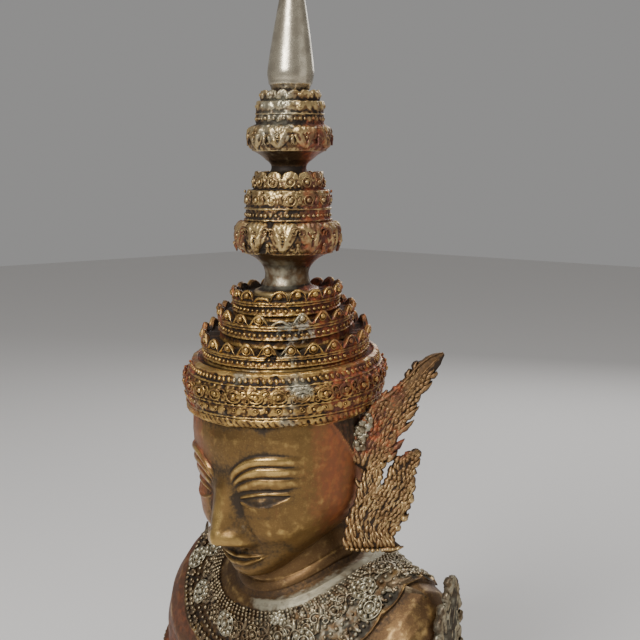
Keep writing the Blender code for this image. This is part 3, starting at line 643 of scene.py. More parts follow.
class Painter:
    """Lays out the nodes of one material, from left to right."""

    def __init__(self, name: str) -> None:
        """Start a material whose shader is bare.

        Args:
            name: what the material is called.
        """
        self.material = bpy.data.materials.new(name)
        self.material.use_nodes = True
        self.tree = self.material.node_tree
        self.shader = self.tree.nodes["Principled BSDF"]
        self.place = self.tree.nodes.new("ShaderNodeTexCoord")

    def node(self, kind: str, **settings: object) -> bpy.types.Node:
        """A new node with its settings.

        Args:
            kind: which kind of node.
            settings: its settings by name.

        Returns:
            The node.
        """
        made = self.tree.nodes.new(kind)
        for name, value in settings.items():
            setattr(made, name, value)
        return made

    def feed(self, socket: Socket, value: object) -> None:
        """Link a socket to another, or set it to a number or a colour.

        Args:
            socket: what is fed.
            value: another socket, a number or a colour.
        """
        if isinstance(value, Socket):
            self.tree.links.new(value, socket)
        elif isinstance(value, tuple):
            socket.default_value = (*value, 1.0)
        else:
            socket.default_value = value

    def mark(self, name: str) -> Socket:
        """A mark of the mesh."""
        return self.node("ShaderNodeAttribute", attribute_name=name).outputs["Fac"]

    def noise(self, scale: float, detail: float) -> Socket:
        """Noise over the piece, with its scale in lumps to the metre.

        Args:
            scale: lumps to the metre.
            detail: finer layers.

        Returns:
            Its value.
        """
        made = self.node("ShaderNodeTexNoise")
        self.feed(made.inputs["Vector"], self.place.outputs["Object"])
        self.feed(made.inputs["Scale"], scale)
        self.feed(made.inputs["Detail"], detail)
        return made.outputs["Fac"]

    def maths(self, operation: str, *values: Socket | float, clamp: bool = False) -> Socket:
        """What an operation makes of some values.

        Args:
            operation: Blender's name for it.
            values: what it works on.
            clamp: whether the result is kept between nothing and one.

        Returns:
            The result.
        """
        made = self.node("ShaderNodeMath", operation=operation, use_clamp=clamp)
        for socket, value in zip(made.inputs, values):
            self.feed(socket, value)
        return made.outputs[0]

    def scaled(self, value: Socket, factor: float, offset: float) -> Socket:
        """A value times a factor, plus an offset."""
        return self.maths("MULTIPLY_ADD", value, factor, offset)

    def add(self, first: Socket, second: Socket) -> Socket:
        """Two values added."""
        return self.maths("ADD", first, second)

    def times(self, first: Socket, second: Socket | float) -> Socket:
        """Two values multiplied, kept between nothing and one."""
        return self.maths("MULTIPLY", first, second, clamp=True)

    def step(self, value: Socket, low: float, high: float) -> Socket:
        """A smooth step from nothing at low to one at high.

        Args:
            value: what is read.
            low: where it is nothing.
            high: where it is one.

        Returns:
            The step.
        """
        made = self.node("ShaderNodeMapRange", interpolation_type="SMOOTHSTEP")
        self.feed(made.inputs["Value"], value)
        start, end = (0.0, 1.0) if low < high else (1.0, 0.0)
        self.feed(made.inputs["From Min"], min(low, high))
        self.feed(made.inputs["From Max"], max(low, high))
        self.feed(made.inputs["To Min"], start)
        self.feed(made.inputs["To Max"], end)
        return made.outputs["Result"]

    def blend(self, factor: Socket, first: object, second: object) -> Socket:
        """One colour going over into another.

        Args:
            factor: how much of the second shows.
            first: the first colour.
            second: the second colour.

        Returns:
            The blend.
        """
        made = self.node("ShaderNodeMix", data_type="RGBA")
        self.feed(made.inputs["Factor"], factor)
        self.feed(made.inputs[6], first)
        self.feed(made.inputs[7], second)
        return made.outputs[2]

    def finished(self, tone: Socket, metallic: object, gloss: Socket,
                 height: Socket, pits: float) -> bpy.types.Material:
        """The material, with its shader fed.

        Args:
            tone: base colour.
            metallic: how metallic it is.
            gloss: roughness.
            height: what the small pits follow.
            pits: how strong the pits are.

        Returns:
            The finished material.
        """
        bump = self.node("ShaderNodeBump")
        self.feed(bump.inputs["Strength"], pits)
        self.feed(bump.inputs["Distance"], 0.6 * MM)
        self.feed(bump.inputs["Height"], height)
        self.feed(self.shader.inputs["Base Color"], tone)
        self.feed(self.shader.inputs["Metallic"], metallic)
        self.feed(self.shader.inputs["Roughness"], gloss)
        self.feed(self.shader.inputs["Normal"], bump.outputs["Normal"])
        return self.material


GILT = Finish("aged_gilt", (0.200, 0.102, 0.036), (0.105, 0.054, 0.024), (0.60, 0.385, 0.125),
              (0.024, 0.014, 0.008), lacquer_bright=(0.36, 0.090, 0.030))
FACE_GILT = Finish("worn_face_gilt", (0.265, 0.155, 0.054), (0.175, 0.102, 0.038), (0.62, 0.41, 0.14),
                   (0.040, 0.026, 0.014), roughness=0.38, pits=0.20, lacquer_bright=(0.34, 0.105, 0.037),
                   lacquer_dark=(0.25, 0.084, 0.034), lacquer_edge=(0.12, 0.85))
SPIRE_GILT = Finish("spire_gilt", (0.185, 0.102, 0.045), (0.10, 0.060, 0.032), (0.58, 0.42, 0.19),
                    (0.026, 0.017, 0.011), lacquer_bright=(0.33, 0.090, 0.032))
SKIN_GILT = Finish("shoulder_gilt", (0.160, 0.090, 0.038), (0.095, 0.053, 0.025), (0.52, 0.34, 0.13),
                   (0.026, 0.017, 0.011), roughness=0.48, pits=0.4, lacquer_bright=(0.24, 0.075, 0.032),
                   lacquer_dark=(0.12, 0.045, 0.025), lacquer_edge=(0.20, 1.00))
PALE = Finish("worn_pale_bronze", (0.33, 0.285, 0.215), (0.21, 0.17, 0.125), (0.56, 0.50, 0.38),
              (0.05, 0.036, 0.026), roughness=0.36, pits=0.18)
JEWELLED = Finish("jewelled_collar", (0.150, 0.100, 0.054), (0.095, 0.062, 0.036), (0.46, 0.37, 0.22),
                  (0.028, 0.020, 0.013))
FLAME = Finish("flame_gilt", (0.31, 0.180, 0.080), (0.20, 0.112, 0.052), (0.64, 0.45, 0.21),
               (0.040, 0.024, 0.014), roughness=0.48)


@dataclass
class Studio:
    """The pale floor, the soft lights and the camera."""

    target: Vector = field(default_factory=lambda: Vector((0.0, 0.0, 0.19)))
    camera_place: Vector = field(default_factory=lambda: Vector((0.5574, -0.5313, 0.3189)))
    camera_turn: float = radians(45.0)
    camera_pitch: float = radians(6.45)
    focal_length: float = 84.375
    sensor: float = 36.0
    floor_size: float = 6.0

    def build(self) -> None:
        """Make the floor, lights, world and camera."""
        self.floor()
        self.light("key", (-0.42, 0.72, 0.55), 0.45, 13.0)
        self.light("top", (0.05, 0.15, 1.0), 0.7, 6.0)
        self.light("fill", (0.85, 0.40, 0.12), 0.9, 1.4)
        self.light("back", (0.35, -0.9, 0.45), 0.7, 4.0)
        self.world()
        self.camera()

    def floor(self) -> None:
        """A plain pale floor."""
        mesh = bpy.data.meshes.new("studio_floor")
        half = self.floor_size / 2.0
        corners = [(-half, -half, 0.0), (half, -half, 0.0), (half, half, 0.0), (-half, half, 0.0)]
        mesh.from_pydata(corners, [], [(0, 1, 2, 3)])
        floor = bpy.data.objects.new("studio_floor", mesh)
        bpy.context.scene.collection.objects.link(floor)
        material = bpy.data.materials.new("pale_floor")
        material.use_nodes = True
        shader = material.node_tree.nodes["Principled BSDF"]
        shader.inputs["Base Color"].default_value = (0.78, 0.76, 0.74, 1.0)
        shader.inputs["Roughness"].default_value = 0.9
        mesh.materials.append(material)

    def light(self, name: str, way: tuple[float, float, float], size: float, watts: float) -> None:
        """A soft square light.

        Args:
            name: what it is called.
            way: its direction from the figure: to the picture's right, to the camera, and up.
            size: its side in metres.
            watts: its power.
        """
        right = Vector((cos(self.camera_turn), sin(self.camera_turn), 0.0))
        near = Vector((sin(self.camera_turn), -cos(self.camera_turn), 0.0))
        place = self.target + (right * way[0] + near * way[1] + Vector((0.0, 0.0, way[2]))) * 1.25
        data = bpy.data.lights.new(name, "AREA")
        data.size = size
        data.energy = watts
        lamp = bpy.data.objects.new(name, data)
        lamp.location = place
        lamp.rotation_euler = (self.target - place).to_track_quat("-Z", "Y").to_euler()
        bpy.context.scene.collection.objects.link(lamp)

    def world(self) -> None:
        """A pale, even surround."""
        world = bpy.data.worlds.new("studio")
        world.use_nodes = True
        back = world.node_tree.nodes["Background"]
        back.inputs["Color"].default_value = (0.90, 0.89, 0.88, 1.0)
        back.inputs["Strength"].default_value = 0.32
        bpy.context.scene.world = world

    def camera(self) -> None:
        """The camera, at the photograph's angle and framing."""
        data = bpy.data.cameras.new("camera")
        data.lens = self.focal_length
        data.sensor_width = self.sensor
        data.clip_start = 0.01
        camera = bpy.data.objects.new("camera", data)
        camera.location = self.camera_place
        camera.rotation_euler = (pi / 2.0 - self.camera_pitch, 0.0, self.camera_turn)
        bpy.context.scene.collection.objects.link(camera)
        bpy.context.scene.camera = camera


def make_piece(name: str, shell: Shell, finish: Finish, slot: str, *nodes: str) -> bpy.types.Object:
    """Make a piece of the figure from a shell.

    Args:
        name: its name.
        shell: its skin and marks.
        finish: its finish.
        slot: not used.
        nodes: the solids that it replaces.

    Returns:
        The new object, which rides on the one body.
    """
    mesh = bpy.data.meshes.new(name)
    loops = np.concatenate([shell.tris.ravel(), shell.quads.ravel()]).astype(np.int32)
    split = 3 * len(shell.tris)
    starts = np.concatenate([np.arange(0, split, 3), split + np.arange(0, 4 * len(shell.quads), 4)])
    mesh.vertices.add(len(shell.points))
    low, high = (np.array(corner) for corner in CAD_BOX)
    inside = np.clip(shell.points, low + BOX_MARGIN * (low < 0.0), high - BOX_MARGIN)
    mesh.vertices.foreach_set("co", inside.astype(np.float32).ravel())
    mesh.loops.add(len(loops))
    mesh.loops.foreach_set("vertex_index", loops)
    mesh.polygons.add(len(starts))
    mesh.polygons.foreach_set("loop_start", starts.astype(np.int32))
    mesh.update(calc_edges=True)
    for mark in MARKS:
        values = shell.marks.get(mark, np.full(len(shell.points), MARK_REST[mark]))
        layer = mesh.attributes.new(mark, "FLOAT", "POINT")
        layer.data.foreach_set("value", values.astype(np.float32))
    mesh.shade_smooth()
    material = bpy.data.materials.get(finish.name) or finish.build()
    mesh.materials.append(material)
    piece = bpy.data.objects.new(name, mesh)
    bpy.context.scene.collection.objects.link(piece)
    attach(piece, "root")
    if nodes:
        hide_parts(*nodes)
    LOG.info("%s: %d triangles", name, len(shell.tris) + 2 * len(shell.quads))
    return piece


# Turned surfaces of the crown

def settle_crown(points: Array) -> Array:
    """Tip the rings to the front left and lean the whole crown back, as the solids do.

    Args:
        points: places, with their coordinates in the last axis.

    Returns:
        The places as they come to lie.
    """
    x, y, z = points[..., 0], points[..., 1], points[..., 2]
    levels, to_side, to_back = np.array(CROWN_TIPS).T
    risen = z + x * np.interp(z, levels, to_side) + y * np.interp(z, levels, to_back)
    return np.stack([x, y + tan(CROWN_LEAN) * (z - BRIM_LEVEL), risen], axis=-1)


@dataclass
class Turned:
    """A turned surface, from bottom to top, that ornaments are laid on, in millimetres.

    legs holds radius, height, bulge and step: each leg runs from the last one's end,
    bows out by its bulge and is cut in steps of about its step.
    """

    start: tuple[float, float]
    legs: list[tuple[float, float, float, float]]
    columns: int
    profile: Array = field(init=False)

    def __post_init__(self) -> None:
        """Work the profile out from its legs."""
        places = [np.array([self.start])]
        last = np.array(self.start)
        for radius, height, bulge, step in self.legs:
            end = np.array([radius, height])
            length = np.linalg.norm(end - last)
            count = max(1, round(length / step))
            share = np.linspace(0.0, 1.0, count + 1)[1:, None]
            beside = np.array([end[1] - last[1], last[0] - end[0]]) / max(length, 1e-9)
            places.append(last + (end - last) * share + beside * 4.0 * bulge * share * (1.0 - share))
            last = end
        self.profile = np.concatenate(places)

    def angles(self) -> Array:
        """The columns' angles round the axis."""
        return np.linspace(0.0, tau, self.columns, endpoint=False)

    def normals(self) -> Array:
        """Outward directions of the profile.

        Returns:
            A direction for each row.
        """
        ahead = np.gradient(self.profile, axis=0)
        ahead /= np.maximum(np.linalg.norm(ahead, axis=1, keepdims=True), 1e-12)
        return np.stack([ahead[:, 1], -ahead[:, 0]], axis=1)

    def grid(self, lift: Array, drop: Array | None = None) -> Array:
        """The surface with its relief, settled as the crown is.

        Args:
            lift: how far each place stands out, for rows and columns.
            drop: how far each place is let down, or nothing.

        Returns:
            Rows, columns and coordinates.
        """
        normal = self.normals()
        radius = self.profile[:, :1] + normal[:, :1] * lift
        height = self.profile[:, 1:] + normal[:, 1:] * lift
        if drop is not None:
            height = height - drop
        angle = self.angles()[None, :]
        return settle_crown(np.stack([radius * np.cos(angle), radius * np.sin(angle), height], axis=-1) * MM)

    def seat(self, angle: float, height: float, out: float = 0.0) -> Seat:
        """Where an ornament sits at an angle and a height.

        Args:
            angle: round the axis, from +X towards +Y.
            height: level on the outermost part of the profile at that level.
            out: how far off the surface.

        Returns:
            The seat, settled as the crown is.
        """
        row = self.row_at(height)
        radius, level = self.profile[row]
        nr, nz = self.normals()[row]
        outward = np.array([nr * cos(angle), nr * sin(angle), nz])
        side = np.array([-sin(angle), cos(angle), 0.0])
        place = np.array([radius * cos(angle), radius * sin(angle), level]) + outward * out
        return Seat(settle_crown(place * MM), side, np.cross(outward, side), outward)

    def strung(self, ornament: Shell, count: int, height: float, rng: np.random.Generator,
               sizes: tuple[float, float], shift: float = 0.0, out: float = 0.0) -> list[Shell]:
        """Copies of an ornament set evenly round the surface.

        Args:
            ornament: what is copied.
            count: how many there are.
            height: their level.
            rng: where their sizes come from.
            sizes: the smallest and the largest of them against the ornament.
            shift: how far they are moved on, as a share of their spacing.
            out: how far off the surface.

        Returns:
            The copies.
        """
        return [ornament.moved(self.seat(tau * (number + shift) / count, height, out), rng.uniform(*sizes))
                for number in range(count)]

    def row_at(self, height: float) -> int:
        """The outermost row near a level.

        Args:
            height: the level.

        Returns:
            The row.
        """
        gap = np.abs(self.profile[:, 1] - height)
        near = gap < gap.min() + 0.5
        return int(np.argmax(np.where(near, self.profile[:, 0], -1.0)))


def red_lacquer_and_reflection(grid: Array, width: float) -> Array:
    """Where the crown is red: red lacquer with a painted red reflection on the picture's right, a painted red
    reflection along the far edge, and red lacquer in patches behind.

    Args:
        grid: places, with their coordinates in the last axis.
        width: radius of the piece.

    Returns:
        A value from 0 to 1 for each place.
    """
    across = toward_right(grid) / width
    near = toward_camera(grid)
    # The right is red lacquer with a painted red reflection, the far edge a painted red reflection, and
    # behind is red lacquer.
    right = rise(across, 0.02, 0.60) * 0.66
    edge = rise(-across, 0.62, 0.95) * 0.58
    behind = rise(-near, 0.0, 0.6 * width) * 0.10
    return unit(right + edge + behind + 0.16 * rough(grid, 14.0 * MM, 5))


@dataclass
class Crown:
    """The brim and the three toothed rings of the crown, in millimetres."""

    brim_radius: float = 51.8
    brim_foot: float = 187.0
    brim_top: float = 215.5
    edge_radius: float = 46.8
    ring_radii: tuple[float, ...] = (43.6, 35.2, 28.2)
    ring_decks: tuple[float, ...] = (225.9, 237.0, 246.5)
    crest: float = 4.6
    tooth_heights: tuple[float, ...] = (6.8, 5.4, 5.8)
    tooth_counts: tuple[int, ...] = (24, 20, 19)
    wall: float = 2.2
    motifs: int = 28
    edge_beads: int = 96
    rope_twists: int = 96
    bead_pitch: float = 3.1
    brim_columns: int = 520
    ring_columns: tuple[int, ...] = (500, 420, 370)

    def build(self) -> None:
        """Make the brim and the rings."""
        rng = np.random.default_rng(11)
        make_piece("crown_brim", self.brim(rng), GILT, "gilt_bronze", "angel_bust")
        for index, name in enumerate(("lower", "middle", "upper")):
            make_piece(f"crown_ring_{name}", self.ring(index, rng), GILT, "gilt_bronze", "angel_bust")

    def brim_surface(self) -> Turned:
        """The brim's turned surface.

        Returns:
            The surface.
        """
        foot, top, r = self.brim_foot, self.brim_top, self.brim_radius
        fine, coarse = 0.42, 1.5
        legs = [
            (self.edge_radius - 2.2, foot + 0.3, 0.0, coarse),
            (self.edge_radius - 0.6, foot + 1.2, 0.2, fine),
            (self.edge_radius - 0.4, foot + 1.9, -0.3, fine),
            (r * 0.978, foot + 6.4, 1.4, fine),
            (r * 0.972, foot + 7.0, -0.3, fine),
            (r * 0.984, foot + 7.8, 0.35, fine),
            (r * 0.976, foot + 8.4, -0.3, fine),
            (r * 0.990, foot + 13.2, 0.5, fine),
            (r * 0.996, foot + 14.0, 0.4, fine),
            (r * 0.985, foot + 14.6, -0.2, fine),
            (r * 0.965, foot + 22.4, 1.5, fine),
            (r * 0.962, foot + 23.2, 0.45, fine),
            (r * 0.940, foot + 23.8, -0.2, fine),
            (r * 0.925, foot + 27.2, -0.3, fine),
            (r * 0.915, foot + 28.2, 0.5, fine),
            (r * 0.875, top + 0.1, 0.2, fine),
            (self.ring_radii[0] + 1.2, top - 0.6, -0.2, fine),
            (self.ring_radii[0] - 3.0, top - 0.6, 0.0, coarse),
            (30.0, top - 0.4, 0.0, 4.0),
        ]
        return Turned((30.0, foot + 0.5), legs, self.brim_columns)

    def brim(self, rng: np.random.Generator) -> Shell:
        """The brim with its rope, ovals, scrolls and beads.

        Args:
            rng: where the small differences come from.

        Returns:
            The brim.
        """
        surface = self.brim_surface()
        angle = surface.angles()[None, :]
        level = surface.profile[:, 1:] - self.brim_foot
        outer = surface.profile[:, :1] > self.edge_radius
        rope = hump(level - 4.0, 2.6)
        lift = 0.55 * rope * np.sin(self.rope_twists * angle + level * 1.1) * outer
        small = hump(level - 10.7, 2.2)
        lift = lift + 0.28 * small * np.sin(2.0 * self.motifs * angle) * outer
        zigzag = hump(level - 14.9 - 0.7 * np.sin(3.0 * self.motifs * angle), 0.8)
        lift = lift + 0.45 * zigzag * outer
        flat = surface.grid(np.zeros_like(lift))
        crumbs = 0.40 * rough(flat, 2.1 * MM, 3) + 0.26 * grain(flat, 1.05 * MM, 4)
        lift = lift + crumbs * outer * rise(level, 0.5, 3.0)
        lift = lift - 0.7 * rise(rough(flat, 8.0 * MM, 21), 0.45, 0.8) * outer
        grid = surface.grid(lift)
        relief = carved_marks(grid) - 0.10 * hump(level - 18.6, 4.2)
        marks = {"relief": unit(relief), "lacquer": red_lacquer_and_reflection(grid, self.brim_radius * MM),
                 "silver": self.silvered(grid)}
        shells = [grid_shell(*fewer_behind(grid, marks))]
        shells.append(weathered(join(self.brim_ornaments(surface, rng)), 0.24 * MM, 8))
        return join(shells)

    def silvered(self, grid: Array) -> Array:
        """Grey at the front, towards the camera: gilding worn to grey in patches, and a painted pale
        reflection in the middle of the view.

        Args:
            grid: places, with their coordinates in the last axis.

        Returns:
            A value from 0 to 1 for each place.
        """
        # The middle of the view is a painted pale reflection; the patches are worn gilding.
        middle = hump(toward_right(grid) - 2.0 * MM, 30.0 * MM)
        patches = rise(rough(grid, 15.0 * MM, 31), 0.0, 0.6)
        return (0.30 * middle + 0.42 * patches) * rise(toward_camera(grid), 0.0, 30.0 * MM)

    def dressed(self, shell: Shell) -> Shell:
        """An ornament with the red lacquer, painted red reflection, grey wear and painted pale reflection of
        its place.

        Args:
            shell: what is changed.

        Returns:
            The same ornament.
        """
        shell.marks["lacquer"] = red_lacquer_and_reflection(shell.points, self.brim_radius * MM) * 0.9
        shell.marks["silver"] = self.silvered(shell.points)
        return shell

    def brim_ornaments(self, surface: Turned, rng: np.random.Generator) -> list[Shell]:
        """Beads, bosses and scrolls laid round the brim.

        Args:
            surface: the turned surface.
            rng: where the small differences come from.

        Returns:
            The placed ornaments.
        """
        bead = pearl(1.25, 1.0)
        bead.points = bead.points * np.array([0.85, 1.35, 1.0])
        shells = []
        for index in range(self.edge_beads):
            seat = surface.seat(tau * index / self.edge_beads, self.brim_foot + 25.5)
            shells.append(bead.moved(seat.turned(0.5), rng.uniform(0.85, 1.08)))
        ring, ringlet = hoop(3.0, 0.55, 1.35), hoop(1.15, 0.32, 1.2, 12)
        boss, dot = pearl(1.6, 1.5), pearl(0.85, 0.7)
        hooked, hooked_back = (scroll(2.6, 0.62, 1.1, 0.9, hand) for hand in (1.0, -1.0))
        leaf, leaf_back = (kranok(5.6, 1.0, hand, 1.4 * hand, 0.9) for hand in (-1.0, 1.0))
        step = tau / self.motifs
        for index in range(self.motifs):
            angle = step * (index + 0.35)
            middle = surface.seat(angle, self.brim_foot + 18.4)
            jitter = rng.uniform(0.9, 1.08)
            shells += [ring.moved(middle, jitter), boss.moved(middle, jitter)]
            shells.append(leaf.moved(middle.shifted(-3.0, 1.4).turned(-1.0)))
            shells.append(leaf_back.moved(middle.shifted(3.0, 1.4).turned(1.0)))
            shells.append(dot.moved(middle.shifted(0.0, 4.3)))
            between = surface.seat(angle + step / 2.0, self.brim_foot + 18.2)
            shells.append(hooked.moved(between.shifted(-1.2, 1.3), jitter))
            shells.append(hooked_back.moved(between.shifted(1.3, -1.9).turned(2.2), 0.8 * jitter))
            low = surface.seat(angle, self.brim_foot + 10.7)
            shells += [ringlet.moved(low), dot.moved(low, 0.7)]
            shells.append(dot.moved(surface.seat(angle + step / 2.0, self.brim_foot + 10.7)))
        return [self.dressed(shell) for shell in shells]

    def ring_surface(self, index: int) -> Turned:
        """The turned surface of one toothed ring, over its crest and down to its deck.

        Args:
            index: which ring, from the lowest.

        Returns:
            The surface.
        """
        radius = self.ring_radii[index]
        deck = self.ring_decks[index]
        top = deck + self.crest
        root = top - self.tooth_heights[index]
        foot = (self.brim_top, *self.ring_decks)[index] - 0.8
        fine = 0.40
        legs = [
            (radius - 0.9, foot, 0.0, 2.0),
            (radius - 1.1, root - 6.6, -0.3, 0.8),
            (radius - 0.2, root - 5.9, 0.25, fine),
            (radius - 0.9, root - 5.1, -0.1, fine),
            (radius - 0.9, root - 2.3, -0.25, fine),
            (radius - 0.1, root - 1.9, 0.2, fine),
            (radius - 0.5, root - 1.1, -0.2, fine),
            (radius + 0.1, root - 0.6, 0.2, fine),
            (radius - 0.5, root + 0.3, -0.15, fine),
            (radius, top, 0.3, fine),
            (radius - 0.8, top + 0.1, 0.15, fine),
            (radius - self.wall, top - 0.5, 0.1, fine),
            (radius - self.wall - 0.8, deck, -0.1, 0.55),
            (radius - 9.5, deck - 0.2, 0.0, 2.0),
        ]
        return Turned((radius - 6.0, foot), legs, self.ring_columns[index])

    def tooth_share(self, index: int, angle: Array) -> Array:
        """How high the crest stands at each angle: nothing between teeth, one at a tip.

        Args:
            index: which ring, from the lowest.
            angle: angles round the axis.

        Returns:
            A share for each angle.
        """
        offset = from_middle(angle * self.tooth_counts[index] / tau + 0.2)
        if index == 2:
            return np.sqrt(unit(1.0 - (offset / 0.94) ** 2.4))
        return unit(1.0 - (offset / 0.95) ** 1.75)

    def tooth_scale(self, index: int, angle: Array) -> Array:
        """How much of its height each tooth has kept.

        Args:
            index: which ring, from the lowest.
            angle: angles round the axis.

        Returns:
            A share for each angle.
        """
        count = self.tooth_counts[index]
        number = np.floor(angle * count / tau + 0.2).astype(int) % count
        rng = np.random.default_rng(40 + index)
        kept = 1.0 - 0.16 * rng.random(count)
        broken = {0: (3,), 1: (int(count * (1.0 - 46.0 / 360.0)),), 2: (7, 15)}[index]
        for tooth in broken:
            kept[tooth % count] *= 0.42
        return kept[number]

    def ring(self, index: int, rng: np.random.Generator) -> Shell:
        """One toothed ring with its bosses and beads.

        Args:
            index: which ring, from the lowest.
            rng: where the small differences come from.

        Returns:
            The ring.
        """
        surface = self.ring_surface(index)
        angle = surface.angles()[None, :]
        count = self.tooth_counts[index]
        height = self.tooth_heights[index]
        top = self.ring_decks[index] + self.crest
        root = top - height
        level = surface.profile[:, 1:]
        share = self.tooth_share(index, angle) * self.tooth_scale(index, angle)
        notch = 0.06
        above = unit((level - root) / height)
        drop = above * height * (1.0 - np.maximum(share, notch))
        rows = np.arange(len(surface.profile))[:, None]
        crest_row = int(np.argmax(surface.profile[:, 1]))
        inner = rows > crest_row
        drop = np.where(inner & (level < root), 0.0, drop)
        edge = height * share - (level - root - drop)
        face = (~inner) & (level > root + 0.2)
        rim = hump(edge - 0.45, 0.75) * face
        hollow = rise(edge, 0.9, 1.8) * face
        lift = 0.42 * rim - 0.45 * hollow
        flat = surface.grid(np.zeros_like(drop))
        crumbs = 0.34 * rough(flat, 1.9 * MM, 60 + index) + 0.20 * grain(flat, 1.0 * MM, 64 + index)
        crack = self.cracked(flat) * (index == 0) * ~inner
        broken = self.crusted(flat) * (index == 0) * ~inner
        crumbs = crumbs * (1.0 + 2.4 * broken)
        lift = lift + crumbs * (rows > 3) - 1.7 * crack
        grid = surface.grid(lift, drop)
        relief = carved_marks(grid) * (1.0 - 0.8 * crack)
        relief = np.where(inner, 0.36 + 0.3 * (relief - 0.5), relief)
        low = rise(root - 6.4 - level, 0.0, 1.5)
        marks = {
            "relief": relief * (1.0 - 0.22 * low),
            "lacquer": red_lacquer_and_reflection(grid, self.ring_radii[index] * MM) * np.where(inner, 0.6, 1.0),
            "silver": self.silvered(grid),
            "crust": self.crusted(grid),
        }
        shells = [grid_shell(*fewer_behind(grid, marks))]
        boss = pearl(1.75, 1.5, 10)
        ringed = hoop(2.2, 0.35, sides=14)
        for tooth in range(count):
            turn = tau * (tooth + 0.3) / count
            kept = float(self.tooth_scale(index, np.array([turn]))[0])
            seat = surface.seat(turn, root + 0.42 * height * kept, -0.25)
            size = rng.uniform(0.85, 1.1) * (1.0 if kept > 0.6 else 0.6)
            shells.append(self.dressed(boss.moved(seat, size)))
            if index < 2 and kept > 0.6:
                shells.append(self.dressed(ringed.moved(seat, size)))
        beads = round(tau * self.ring_radii[index] / self.bead_pitch)
        strung = surface.strung(pearl(1.2, 1.05), beads, root - 3.7, rng, (0.72, 1.08), out=-0.1)
        shells += [self.dressed(bead) for bead in strung]
        shells[1:] = [weathered(join(shells[1:]), 0.22 * MM, 66 + index)]
        return join(shells)

    def cracked(self, grid: Array) -> Array:
        """The crack that runs down across the front of the lowest ring.

        Args:
            grid: places, with their coordinates in the last axis.

        Returns:
            A value from 0 to 1 for each place.
        """
        turn = np.degrees(np.arctan2(grid[..., 1], grid[..., 0]))
        line = 217.5 + 0.42 * (turn + 54.0) + 1.1 * np.sin(0.9 * turn) + 0.5 * np.sin(2.3 * turn)
        return hump(grid[..., 2] / MM - line, 1.9) * stretch(turn, -58.0, -54.0, -34.0, -30.0)

    def crusted(self, grid: Array) -> Array:
        """The whitish crust at the front of the two lower rings.

        Args:
            grid: places, with their coordinates in the last axis.

        Returns:
            A value from 0 to 1 for each place.
        """
        middle = np.array([27.0, -18.0, 229.0]) * MM
        gap = np.linalg.norm((grid - middle) / np.array([1.0, 1.0, 0.8]), axis=-1)
        return 0.50 * rise(-gap, -19.0 * MM, -6.0 * MM)


